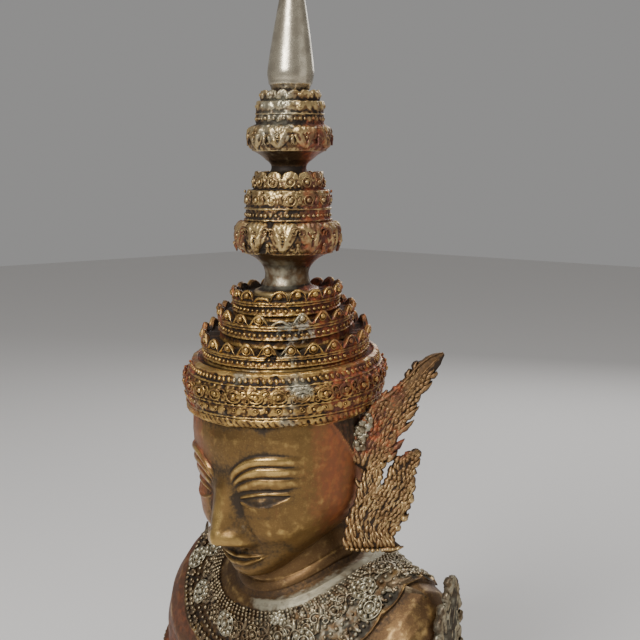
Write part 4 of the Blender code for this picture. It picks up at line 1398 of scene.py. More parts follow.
@dataclass
class Spire:
    """The two bulbs of the crown with their bands, lappets and necks, in millimetres."""

    foot: float = 242.5
    columns: int = 300
    bulb_radius: float = 26.8
    band_radius: float = 22.0
    lappet_radius: float = 18.2
    upper_bulb_radius: float = 21.2
    upper_band_radius: float = 17.3
    socket_radius: float = 15.1
    lower_leaves: int = 11
    upper_leaves: int = 9
    bosses: int = 14
    lappets: int = 13
    socket_teeth: int = 15
    lacquer_and_reflection_width: float = 24.0

    def build(self) -> None:
        """Make the spire."""
        make_piece("crown_spire", self.shell(), SPIRE_GILT, "gilt_bronze", "angel_bust")

    def surface(self) -> Turned:
        """The spire's turned surface, from inside the upper ring to the socket.

        Returns:
            The surface.
        """
        fine, coarse = 0.48, 0.9
        bulb, band, lappet = self.bulb_radius, self.band_radius, self.lappet_radius
        top_bulb, top_band, rim = self.upper_bulb_radius, self.upper_band_radius, self.socket_radius
        legs = [
            (16.9, 243.0, 0.0, 3.0),
            (16.9, 247.3, 0.0, 1.2),
            (15.2, 248.4, 0.4, fine),
            (14.6, 248.5, -0.1, fine),
            (12.2, 251.3, -0.5, fine),
            (11.2, 256.0, -0.2, coarse),
            (12.4, 260.0, -0.2, coarse),
            (23.0, 266.8, -1.2, fine),
            (23.4, 267.4, 0.4, fine),
            (bulb * 0.985, 271.0, 0.7, fine),
            (bulb * 0.985, 277.5, 0.6, fine),
            (band * 1.02, 282.6, 1.6, fine),
            (band * 0.985, 283.2, -0.3, fine),
            (band * 1.02, 284.2, 0.45, fine),
            (band * 0.985, 284.9, -0.2, fine),
            (band * 0.975, 289.0, 0.0, fine),
            (band * 1.015, 289.8, 0.4, fine),
            (band * 0.975, 290.6, -0.2, fine),
            (band * 0.955, 298.3, 0.4, fine),
            (band * 0.915, 298.9, 0.2, fine),
            (lappet * 0.98, 299.2, -0.2, fine),
            (lappet * 1.0, 303.0, 0.3, fine),
            (lappet * 0.955, 308.0, 0.1, fine),
            (lappet * 0.86, 308.1, 0.3, fine),
            (lappet * 0.80, 306.8, 0.0, fine),
            (9.6, 308.2, -0.3, coarse),
            (9.0, 311.0, -0.3, coarse),
            (11.8, 314.0, -0.4, coarse),
            (18.6, 318.6, -0.5, fine),
            (19.0, 319.2, 0.35, fine),
            (top_bulb * 0.995, 324.0, 0.6, fine),
            (top_bulb * 0.99, 327.5, 0.2, fine),
            (top_band * 1.04, 331.8, 1.0, fine),
            (top_band * 0.98, 332.3, -0.2, fine),
            (top_band * 0.985, 336.8, 0.1, fine),
            (top_band * 1.02, 337.5, 0.35, fine),
            (top_band * 0.98, 338.2, -0.2, fine),
            (top_band * 0.975, 343.5, 0.2, fine),
            (rim * 0.98, 343.9, 0.0, fine),
            (rim * 0.99, 348.8, 0.15, fine),
            (rim - 1.4, 349.0, 0.3, fine),
            (rim - 2.6, 348.4, 0.2, fine),
            (rim - 3.2, 346.0, 0.0, fine),
            (8.0, 345.9, 0.0, 2.0),
        ]
        return Turned((9.0, self.foot), legs, self.columns)

    def shell(self) -> Shell:
        """The spire with its foliage, rosettes, beads and lappets.

        Returns:
            The spire.
        """
        rng = np.random.default_rng(23)
        surface = self.surface()
        angle = surface.angles()[None, :]
        level = surface.profile[:, 1:]
        flat = surface.grid(np.zeros((len(level), self.columns)))
        outside = surface.profile[:, :1] > 10.0
        carved = stretch(level, 266.0, 268.0, 308.0, 309.0) + rise(level, 318.0, 319.5)
        crumbs = 0.42 * rough(flat, 1.9 * MM, 80) + 0.24 * grain(flat, 1.0 * MM, 84)
        lift = crumbs * (0.12 + 0.88 * np.minimum(1.0, carved)) * outside
        lift = lift + self.foliage(angle, level, 275.0, 8.0, self.lower_leaves, 1.4)
        lift = lift + self.foliage(angle, level, 325.0, 6.0, self.upper_leaves, 1.2)
        drop = self.lappet_drop(angle, level, surface)
        lobes = 0.5 - 0.5 * np.cos(20.0 * angle)
        lift = lift + 0.55 * lobes * hump(level - 341.2, 3.2) + 0.5 * lobes * hump(level - 334.5, 2.4)
        lift = lift + 0.6 * (0.5 + 0.5 * np.cos(16.0 * angle)) * hump(level - 346.5, 3.0) * outside
        lift = lift - self.chips(flat)
        grid = surface.grid(lift, drop)
        relief = carved_marks(grid)
        under = stretch(level, 258.0, 262.0, 266.0, 267.5)
        under = under + stretch(level, 309.0, 312.0, 317.5, 319.0)
        neck = stretch(level, 249.0, 252.0, 258.0, 261.0)
        bulbs = hump(level - 274.0, 11.0) + hump(level - 325.0, 9.0)
        relief = relief + (0.55 - relief) * unit(under + neck) - 0.17 * bulbs
        gilt = (1.0 - 0.8 * neck) * (1.0 - 0.45 * rise(level, 328.0, 336.0))
        # The red mark is red lacquer with a painted red reflection on the picture's right.
        marks = {
            "relief": unit(relief),
            "lacquer": red_lacquer_and_reflection(grid, self.lacquer_and_reflection_width * MM) * gilt,
            "silver": self.silvered(grid, level),
            "crust": np.broadcast_to(0.30 * hump(level - 251.0, 4.5), relief.shape),
        }
        shells = [grid_shell(*fewer_behind(grid, marks))]
        for ornament in self.ornaments(surface, rng):
            height = ornament.points[:, 2] / MM
            ornament.marks["lacquer"] = red_lacquer_and_reflection(ornament.points, self.lacquer_and_reflection_width * MM) * 0.8
            ornament.marks["silver"] = self.silvered(ornament.points, height)
            shells.append(ornament)
        shells[1:] = [weathered(join(shells[1:]), 0.24 * MM, 86)]
        return join(shells)

    def silvered(self, points: Array, level: Array) -> Array:
        """Where the spire is grey: grey metal on its necks, and, towards the top and on the side facing the
        camera, worn gilding together with a painted pale reflection.

        Args:
            points: places, with their coordinates in the last axis.
            level: heights in millimetres.

        Returns:
            A value from 0 to 1 for each place.
        """
        neck = 0.42 * stretch(level, 247.0, 250.0, 262.0, 266.0)
        upper = 0.36 * rise(level, 300.0, 345.0)
        # The side facing the camera, left of the middle, is a painted pale reflection.
        front = rise(toward_camera(points), -5.0 * MM, 12.0 * MM) * fall(toward_right(points), 0.0, 14.0 * MM)
        return unit(0.75 * neck + upper * (0.45 + 0.55 * front) + 0.22 * front)

    def foliage(self, angle: Array, level: Array, middle: float, reach: float, count: int,
                depth: float) -> Array:
        """Pointed leaves that hang round a bulb, with a vein down each.

        Args:
            angle: angles round the axis.
            level: heights in millimetres.
            middle: the bulb's middle level.
            reach: half the leaves' height.
            count: how many leaves go round.
            depth: how far they stand out.

        Returns:
            The lift of each place, in millimetres.
        """
        offset = from_middle(angle * count / tau)
        down = (middle + reach - level) / (2.0 * reach)
        inside = unit(1.0 - (offset / np.clip(1.05 - unit(down) ** 2.2, 0.02, 1.0)) ** 2.0)
        vein = 0.45 * hump(offset, 0.16)
        low, top = middle - reach, middle + reach
        band = stretch(level, low, low + 1.5, top - 1.0, top)
        curls = 0.24 * np.sin(11.0 * offset + 9.0 * down) * unit(2.0 * inside)
        return depth * band * (inside ** 0.5 - vein - 0.35 + curls)

    def lappet_drop(self, angle: Array, level: Array, surface: Turned) -> Array:
        """How far the free tops of the lappets and of the socket's rim are let down.

        Args:
            angle: angles round the axis.
            level: heights in millimetres.
            surface: the turned surface.

        Returns:
            How far each place is let down, in millimetres.
        """
        drop = np.zeros((len(level), self.columns))
        for count, root, top, low_radius in ((self.lappets, 304.4, 308.1, 0.79 * self.lappet_radius),
                                             (self.socket_teeth, 346.6, 349.0, 11.5)):
            offset = from_middle(angle * count / tau)
            share = np.sqrt(unit(1.0 - offset ** 2.6))
            above = unit((level - root) / (top - root)) * (level < top + 0.5)
            above = above * (surface.profile[:, :1] > low_radius)
            drop = drop + above * (top - root) * (1.0 - share)
        return drop

    def chips(self, flat: Array) -> Array:
        """Breaks in the lower bulb: a notch in its top and a torn place below.

        Args:
            flat: places, with their coordinates in the last axis.

        Returns:
            The depth that is lost, in millimetres.
        """
        loss = np.zeros(flat.shape[:2])
        radius = self.bulb_radius - 2.0
        for degrees, height, reach, depth in ((-67.0, 281.5, 4.2, 1.5), (-74.0, 269.0, 6.0, 1.3),
                                              (-118.0, 268.5, 5.0, 1.6), (-60.0, 284.5, 3.0, 1.0)):
            turn = radians(degrees)
            place = settle_crown(np.array([radius * cos(turn), radius * sin(turn), height]) * MM)
            loss += depth * hump(np.linalg.norm(flat - place, axis=-1), reach * MM)
        return loss

    def ornaments(self, surface: Turned, rng: np.random.Generator) -> list[Shell]:
        """Rosettes, ringed bosses and beads laid round the spire.

        Args:
            surface: the turned surface.
            rng: where the small differences come from.

        Returns:
            The placed ornaments.
        """
        bead, small = pearl(1.1, 0.95), pearl(0.8, 0.8)
        boss, ring, flower = pearl(1.5, 1.35), hoop(2.5, 0.5), rosette(3.4, 6)
        leaf, leaf_back = (kranok(4.6, 1.1, 0.5 * hand, 0.9 * hand, 1.0) for hand in (1.0, -1.0))
        curl, curl_back = (scroll(2.7, 0.7, 1.2, 1.0, hand) for hand in (1.0, -1.0))
        shells = surface.strung(bead, 48, 286.9, rng, (0.75, 1.1))
        for number in range(self.bosses):
            seat = surface.seat(tau * (number + 0.4) / self.bosses, 294.6)
            size = rng.uniform(0.9, 1.08)
            shells += [boss.moved(seat, size), ring.moved(seat, size)]
            half = surface.seat(tau * (number + 0.9) / self.bosses, 291.4)
            shells += [leaf.moved(half.shifted(0.4, 0.0)), leaf_back.moved(half.shifted(-0.4, 0.0))]
            shells.append(small.moved(half.shifted(0.0, 6.0)))
        for number in range(self.lappets):
            seat = surface.seat(tau * (number + 0.5) / self.lappets, 303.6)
            size = rng.uniform(0.9, 1.1)
            shells += [boss.moved(seat, 0.85 * size), ring.moved(seat, 0.95 * size)]
            shells.append(small.moved(surface.seat(tau * number / self.lappets, 300.8)))
        for number in range(self.lower_leaves):
            turn = tau * (number + 0.5) / self.lower_leaves
            next_gap = turn + pi / self.lower_leaves
            shells.append(flower.moved(surface.seat(turn, 276.6, 0.2), rng.uniform(0.85, 1.0)))
            gap = surface.seat(next_gap, 278.4, 0.1)
            shells.append(curl.moved(gap.shifted(-1.6, 0.0)))
            shells.append(curl_back.moved(gap.shifted(1.6, -0.6).turned(pi)))
            low = surface.seat(next_gap, 271.5, 0.2).turned(pi)
            shells += [leaf.moved(low), leaf_back.moved(low), small.moved(low.turned(pi), 1.4)]
        for number in range(self.upper_leaves):
            turn = tau * (number + 0.5) / self.upper_leaves
            shells.append(flower.moved(surface.seat(turn, 325.6, 0.1), 0.95 * rng.uniform(0.85, 1.0)))
            gap = surface.seat(turn + pi / self.upper_leaves, 326.6, 0.1).turned(pi)
            shells += [leaf.moved(gap, 1.1), leaf_back.moved(gap, 1.1), small.moved(gap.turned(pi), 1.5)]
        shells += surface.strung(bead, 40, 334.4, rng, (0.7, 1.0))
        shells += surface.strung(bead, 20, 341.4, rng, (0.9, 1.3), shift=0.5)
        return shells + surface.strung(bead, 16, 346.2, rng, (0.9, 1.35))


@dataclass
class Finial:
    """The smooth pale spike at the top of the crown."""

    foot_level: float = 346.3 * MM
    foot_radius: float = 9.4 * MM
    radius: float = 12.0 * MM
    height: float = 77.0 * MM
    tip_radius: float = 1.6 * MM
    belly: float = 0.16
    columns: int = 96

    def build(self) -> None:
        """Make the finial."""
        make_piece("crown_finial_spike", self.shell(), PALE, "pale_bronze", "crown_finial")

    def radius_at(self, share: Array) -> Array:
        """Radius at a share of the height.

        Args:
            share: shares of the height.

        Returns:
            A radius for each share.
        """
        low = unit((share - 0.04) / (self.belly - 0.04))
        swell = self.foot_radius + (self.radius - self.foot_radius) * np.sin(low * pi / 2.0)
        high = unit((share - self.belly) / (1.0 - self.belly))
        taper = self.tip_radius + (self.radius - self.tip_radius) * (1.0 - high ** 1.15)
        body = np.where(share <= self.belly, swell, taper)
        return body * (1.0 - 0.4 * rise(share, 0.96, 1.0))

    def shell(self) -> Shell:
        """The spike with a rough seat round its foot and faint turning marks.

        Returns:
            The spike.
        """
        share = np.linspace(0.0, 1.0, 110)[:, None]
        angle = np.linspace(0.0, tau, self.columns, endpoint=False)[None, :]
        radius = self.radius_at(share)
        level = self.foot_level + share * self.height
        flat = np.stack(np.broadcast_arrays(radius * np.cos(angle), radius * np.sin(angle), level), axis=-1)
        lump = 0.5 * MM * rough(flat, 2.6 * MM, 90) * fall(share, 0.05, 0.13)
        fine = 0.07 * MM * rough(flat, 7.0 * MM, 91) * rise(share, 0.05, 0.2)
        ring = 0.35 * MM * hump(share - 0.085, 0.012)
        out = radius + lump + fine + ring
        spike = np.stack(np.broadcast_arrays(out * np.cos(angle), out * np.sin(angle), level), axis=-1)
        grid = settle_crown(spike)
        worn = 0.05 * rough(grid, 9.0 * MM, 92) - 0.25 * fall(share, 0.0, 0.1)
        relief = unit(carved_marks(grid, 2, 6) + worn)
        # Red on the picture's right: a stain together with a painted red reflection.
        stain_and_reflection = 0.30 * rise(toward_right(grid), 2.0 * MM, 11.0 * MM)
        return grid_shell(*fewer_behind(grid, {"relief": relief, "lacquer": stain_and_reflection}))


# Head

@dataclass
class Head:
    """The head below the brim: brows, lids, nose, lips, hair and neck edge."""

    half_width: float = 45.3 * MM
    face_length: float = 86.5 * MM
    face_depth: float = 47.0 * MM
    skull_depth: float = 45.0 * MM
    jaw_rise: float = 0.17
    rows: int = 212
    columns: int = 400
    rows_of_form: tuple[tuple[float, float, float, float], ...] = (
        (-0.12, 0.70, 0.70, 0.72),
        (-0.02, 0.99, 0.97, 0.98),
        (0.12, 1.00, 1.00, 1.00),
        (0.25, 1.00, 0.99, 1.00),
        (0.386, 0.985, 0.97, 0.98),
        (0.507, 0.96, 0.957, 0.96),
        (0.62, 0.915, 0.94, 0.95),
        (0.68, 0.88, 0.92, 0.945),
        (0.73, 0.84, 0.88, 0.94),
        (0.77, 0.80, 0.83, 0.935),
        (0.81, 0.75, 0.80, 0.93),
        (0.87, 0.66, 0.785, 0.92),
        (0.90, 0.61, 0.775, 0.91),
        (0.94, 0.54, 0.76, 0.90),
        (0.985, 0.45, 0.70, 0.87),
        (1.005, 0.36, 0.58, 0.80),
        (1.01, 0.20, 0.34, 0.50),
    )

    def build(self) -> None:
        """Make the head."""
        make_piece("angel_head", self.shell(), FACE_GILT, "gilt_bronze", "angel_bust")

    def form(self) -> tuple[Array, Array, Array, Array]:
        """Share, width, front and back depth of every fine row.

        Returns:
            A value of each for every row.
        """
        coarse = np.array(self.rows_of_form)
        run = np.concatenate([[0.0], np.cumsum(np.hypot(np.diff(coarse[:, 0]), 0.5 * np.diff(coarse[:, 2])))])
        even = np.linspace(0.0, run[-1], self.rows)
        values = []
        for column in range(4):
            fine = np.interp(even, run, coarse[:, column])
            kernel = np.hanning(9)
            padded = np.pad(fine, 4, mode="edge")
            values.append(np.convolve(padded, kernel / kernel.sum(), mode="valid")[:, None])
        return values[0], values[1], values[2], values[3]

    def shell(self) -> Shell:
        """The carved head.

        Returns:
            The head.
        """
        share, wide, front, back = self.form()
        turn = np.linspace(-1.0, 1.0, self.columns, endpoint=False)
        angle = (pi * (0.5 * turn + 0.5 * turn ** 3))[None, :]
        across, ahead = np.sin(angle), np.cos(angle)
        face = ahead > 0.0
        depth = np.where(face, self.face_depth * front, self.skull_depth * back)
        square = np.where(face, 2.25, 2.1)
        norm = (np.abs(across) ** square + np.abs(ahead) ** square) ** (1.0 / square)
        x = self.half_width * wide * across / norm
        y = -depth * ahead / norm
        lift_back = self.jaw_rise * (1.0 - ahead) ** 1.1 * np.maximum(0.0, share - 0.55) / 0.45
        down = share - lift_back
        drop = down * self.face_length / MM
        lift = self.relief(x / MM, drop) * MM * unit(ahead) ** 0.25
        y = y - lift * (0.35 + 0.65 * unit(ahead))
        x = x + lift * 0.45 * across
        z = -down * self.face_length
        flat = np.stack([x, y, z], axis=-1)
        hair, hair_lift = self.hair(flat, drop)
        pull = 1.0 + hair_lift / self.half_width
        x, y = x * pull, y * pull
        fine = 0.10 * MM * rough(flat, 5.0 * MM, 101) + 0.05 * MM * rough(flat, 1.6 * MM, 102)
        y = y - fine * ahead
        x = x + fine * across
        nodded = np.stack([x, y * cos(HEAD_NOD) - z * sin(HEAD_NOD),
                           BRIM_LEVEL + y * sin(HEAD_NOD) + z * cos(HEAD_NOD)], axis=-1)
        relief = carved_marks(nodded, 3, 10)
        relief = self.shaded(relief, x / MM, drop, ahead)
        # A painted shadow of the brim in a notch over each temple, painted shade along the hairline, and the
        # hair a little darker.
        brim_shadow_notch = unit(1.3 - np.abs(np.abs(x) / MM - 26.0) / 6.0 - rise(drop, 1.0, 9.0))
        hair_tone_and_painted_shade = 0.30 * hair + 1.6 * hair * (1.0 - hair) + 0.28 * brim_shadow_notch * (ahead > 0.0)
        marks = {"relief": unit(relief - hair_tone_and_painted_shade)}
        marks["lacquer"] = self.reddened(nodded, drop) * (1.0 - 0.55 * hair)
        marks["silver"] = 0.30 * oval(x / MM, drop, (11.0, 56.0), (12.0, 13.0))
        return grid_shell(*fewer_behind(nodded, marks))

    def reddened(self, grid: Array, drop: Array) -> Array:
        """The red-brown of the temple and cheek on the picture's right, of the far edge and behind: red
        lacquer with a painted red reflection on the right, a painted red reflection on the far edge, and red
        lacquer behind.

        Args:
            grid: places, with their coordinates in the last axis.
            drop: depths below the brim, in millimetres.

        Returns:
            A value from 0 to 1 for each place.
        """
        right = rise(toward_right(grid), 6.0 * MM, 26.0 * MM) * (1.0 - 0.6 * rise(drop, 50.0, 72.0))
        far = rise(-toward_right(grid), 30.0 * MM, 46.0 * MM) * 0.6
        behind = 0.35 * rise(-toward_camera(grid), 0.0, 30.0 * MM)
        streaked = grid * np.array([1.0, 1.0, 0.22])
        return unit(0.64 * right + far + behind + 0.22 * rough(streaked, 2.6 * MM, 103))

    def shaded(self, relief: Array, x: Array, drop: Array, ahead: Array) -> Array:
        """Relief marks with painted shade in the hollows beside the nose, under it, under the lip and in the
        eye slits, a painted shadow under the brim, darker towards the chin, and a painted highlight along the
        nose ridge and over the brows.

        Args:
            relief: the marks as carved.
            x: places across, in millimetres.
            drop: depths below the brim, in millimetres.
            ahead: how far each place faces ahead.

        Returns:
            A value from 0 to 1 for each place.
        """
        side = np.abs(x)
        relief = 0.475 + 0.55 * (relief - 0.5)
        # Painted shade in the hollows beside and under the nose and under the lip.
        hollow = 0.10 * oval(side, drop, (9.5, 42.0), (6.0, 8.0))
        hollow = hollow + 0.12 * oval(side, drop, (17.0, 60.0), (11.0, 13.0))
        hollow = hollow + 0.12 * hump(drop - 68.8, 2.8) * hump(side, 15.0)
        hollow = hollow + 0.10 * hump(drop - 80.0, 3.4) * hump(side, 14.0)
        # Painted shadow of the brim along the top of the face.
        hollow = hollow + 0.12 * fall(drop, 2.0, 8.0) + 0.30 * fall(drop, 1.2, 3.2)
        lower = 0.14 * rise(drop, 60.0, 86.0)
        # Painted shade in each eye's slit under the lid.
        slit = oval(side, drop, (22.5, 42.6), (12.0, 3.0))
        relief = relief + (0.34 - relief) * unit(1.5 * slit)
        # Painted highlight along the nose ridge and over the brows.
        painted_highlight = 0.22 * hump(side, 5.0) * stretch(drop, 34.0, 48.0, 65.0, 69.0)
        painted_highlight = painted_highlight + 0.14 * oval(side, drop, (20.0, 26.0), (17.0, 11.0))
        toned = relief + (painted_highlight - hollow - lower) * (ahead > 0.0)
        floor = 0.43 * (ahead > 0.0) * rise(drop, 46.0, 52.0)
        floor = floor * (1.0 - 0.3 * oval(side, drop, (0.0, 74.5), (18.0, 6.0)))
        return unit(np.maximum(toned, floor))

    def brow_line(self, x: Array, inner: float, top: float, outer: float) -> Array:
        """Depth below the brim of a brow line: up from the nose, over the eye, level to the temple.

        Args:
            x: places across, in millimetres.
            inner: depth at the nose.
            top: depth at the highest place.
            outer: depth at the temple.

        Returns:
            The line's depth in millimetres.
        """
        share = (np.abs(x) - 5.0) / 33.0
        up = np.sin(unit(share / 0.62) * pi / 2.0) ** 0.8
        down = rise(share, 0.70, 1.1)
        return inner + (top - inner) * up + (outer - top) * down

    def relief(self, x: Array, drop: Array) -> Array:
        """How far the face stands proud, in millimetres, at places across and below the brim.

        Args:
            x: places across, in millimetres.
            drop: depths below the brim, in millimetres.

        Returns:
            The lift of each place, in millimetres.
        """
        side = np.abs(x)
        lift = self.brows(side, drop) + self.eyes(side, drop) + self.nose(side, drop)
        lift = lift + self.mouth(side, drop)
        lift = lift + 1.6 * oval(side, drop, (25.0, 54.0), (18.0, 15.0))
        lift = lift + 2.4 * hump(side, 15.0) * hump(drop - 83.0, 6.5)
        return lift + 0.7 * hump(side, 24.0) * hump(drop - 14.0, 12.0)

    def brows(self, side: Array, drop: Array) -> Array:
        """Three flat bands over each eye with cut lines between them.

        Args:
            side: distances from the middle, in millimetres.
            drop: depths below the brim, in millimetres.

        Returns:
            The lift of each place, in millimetres.
        """
        lines = (
            self.brow_line(side, 30.0, 17.6, 18.8),
            self.brow_line(side, 35.5, 23.2, 24.2),
            self.brow_line(side, 37.6, 29.2, 29.6),
            self.brow_line(side, 39.5, 35.9, 34.0),
        )
        outer = fall(side, 31.0, 41.0)
        reach = rise(side, 4.5, 9.0) * outer
        within = rise(drop - lines[0], -0.8, 1.0) * fall(drop - lines[3], -0.6, 1.2)
        band = 0.45 * within
        for upper, lower, height, start in zip(lines, lines[1:], (1.35, 1.05, 1.05), (4.5, 7.0, 9.0)):
            middle = 0.55 * upper + 0.45 * lower
            half = np.maximum((lower - upper) / 2.0, 0.5)
            band = band + height * hump(drop - middle, 1.15 * half) * rise(side, start, start + 5.0)
        for line, depth, start in zip(lines, (0.35, 0.75, 0.65, 0.5), (5.0, 6.5, 8.0, 10.0)):
            band = band - depth * hump(drop - line, 1.05) * rise(side, start, start + 4.0)
        return band * reach

    def eyes(self, side: Array, drop: Array) -> Array:
        """Hollows, balls, lowered lids and the slit of each eye.

        Args:
            side: distances from the middle, in millimetres.
            drop: depths below the brim, in millimetres.

        Returns:
            The lift of each place, in millimetres.
        """
        off = side - 22.5
        hollow = -2.2 * hump(off, 19.0) * hump(drop - 38.0, 13.0)
        ball = 2.6 * hump(off, 14.5) * hump(drop - 41.5, 9.0)
        share = unit((off + 12.0) / 24.0)
        upper = 41.2 - 1.5 * np.sin(pi * share) - 2.6 * share
        lower = 41.5 + 3.9 * np.sin(pi * unit(share)) ** 0.85 - 2.8 * share
        inside = (off > -12.3) & (off < 12.3)
        reach = rise(12.3 - np.abs(off), 0.0, 1.6)
        opening = rise(drop - upper, -0.1, 0.5) * rise(lower - drop, -0.1, 0.5) * inside
        slit = -0.55 * opening * reach - 0.45 * hump(drop - upper - 0.5, 0.9) * reach
        rim = 0.60 * hump(drop - upper + 0.8, 1.1) * reach + 0.60 * hump(drop - lower - 0.6, 0.95) * reach
        pupil = 0.75 * hump(np.hypot(off + 0.4, 1.2 * (drop - 42.6)), 3.4)
        fold = -0.30 * hump(drop - upper + 2.4, 0.9) * rise(13.0 - np.abs(off), 0.0, 3.0)
        return hollow + ball + slit + rim + pupil * reach + fold

    def nose(self, side: Array, drop: Array) -> Array:
        """The nose, from its root between the brows to its tip and wings.

        Args:
            side: distances from the middle, in millimetres.
            drop: depths below the brim, in millimetres.

        Returns:
            The lift of each place, in millimetres.
        """
        along = (drop - 33.0) / 31.5
        ridge = 13.0 * (0.17 + 0.83 * unit(along) ** 1.25)
        width = 9.5 + 6.5 * unit(along) ** 1.2
        section = hump(side, width)
        fade = stretch(drop, 26.0, 37.0, 63.5, 69.5)
        bridge = ridge * section * fade
        tip = 1.2 * hump(side, 7.0) * hump(drop - 62.5, 6.5)
        wing = 3.0 * hump(np.hypot(side - 9.6, 0.85 * (drop - 62.8)), 7.2)
        fold = hump(np.hypot(side - 9.6, drop - 62.4) - 6.6, 1.6)
        crease = -0.35 * fold * rise(side, 9.5, 12.5) * (drop < 68.0)
        nostril = -1.4 * hump(np.hypot(0.8 * (side - 6.2), 1.3 * (drop - 68.4)), 2.8)
        return bridge + tip + wing + crease + nostril

    def mouth(self, side: Array, drop: Array) -> Array:
        """Full lips with a cut line between them and an edge round them.

        Args:
            side: distances from the middle, in millimetres.
            drop: depths below the brim, in millimetres.

        Returns:
            The lift of each place, in millimetres.
        """
        share = unit(side / 17.0)
        line = 74.8 - 3.0 * share ** 2.0 + 0.5 * np.sin(pi * unit(side / 9.0))
        bow = 71.6 + 0.8 * hump(side, 3.0) - 0.6 * hump(side - 4.6, 4.0) - 1.3 * share ** 1.8
        upper_half = np.maximum(0.4, (line - bow) / 2.0 * (1.0 - share ** 3.0))
        lower_half = np.maximum(0.4, 2.2 * (1.0 - share ** 2.4))
        reach = fall(side, 13.5, 17.5)
        upper = 1.8 * hump(drop - line + upper_half, 1.25 * upper_half) * reach
        lower = 2.2 * hump(drop - line - lower_half, 1.25 * lower_half) * reach
        mound = 1.2 * hump(side, 21.0) * hump(drop - 75.0, 9.0)
        edge = 0.35 * hump(drop - bow + 0.3, 0.8) * reach
        cut = -0.6 * hump(drop - line, 0.9) * fall(side, 16.0, 19.0)
        groove = -0.5 * hump(side, 1.8) * stretch(drop, 66.5, 68.0, 69.0, 70.5)
        corner = -0.4 * hump(np.hypot(side - 17.2, drop - line), 2.8)
        return upper + lower + mound + edge + cut + groove + corner

    def hair(self, flat: Array, drop: Array) -> tuple[Array, Array]:
        """Combed hair behind the temples, and the corded hairline in front of it.

        Args:
            flat: places on the head before its nod.
            drop: depth of each below the brim in millimetres.

        Returns:
            Where the hair is, and how far it and its cord stand out.
        """
        y = flat[..., 1] / MM
        edge = -13.5 + 0.72 * drop
        within = rise(y - edge, 0.0, 1.2) * fall(drop, 62.0, 70.0)
        strands = np.sin(np.arctan2(flat[..., 0], flat[..., 1]) * 64.0 + 0.06 * drop)
        cord = hump(y - edge, 1.3) * stretch(drop, 2.0, 5.0, 46.0, 50.0)
        twist = 0.75 + 0.25 * np.sin(drop * 3.2)
        return within, (0.55 * within + 0.16 * strands * within + 0.75 * cord * twist) * MM


# Shoulders, collar and armlets

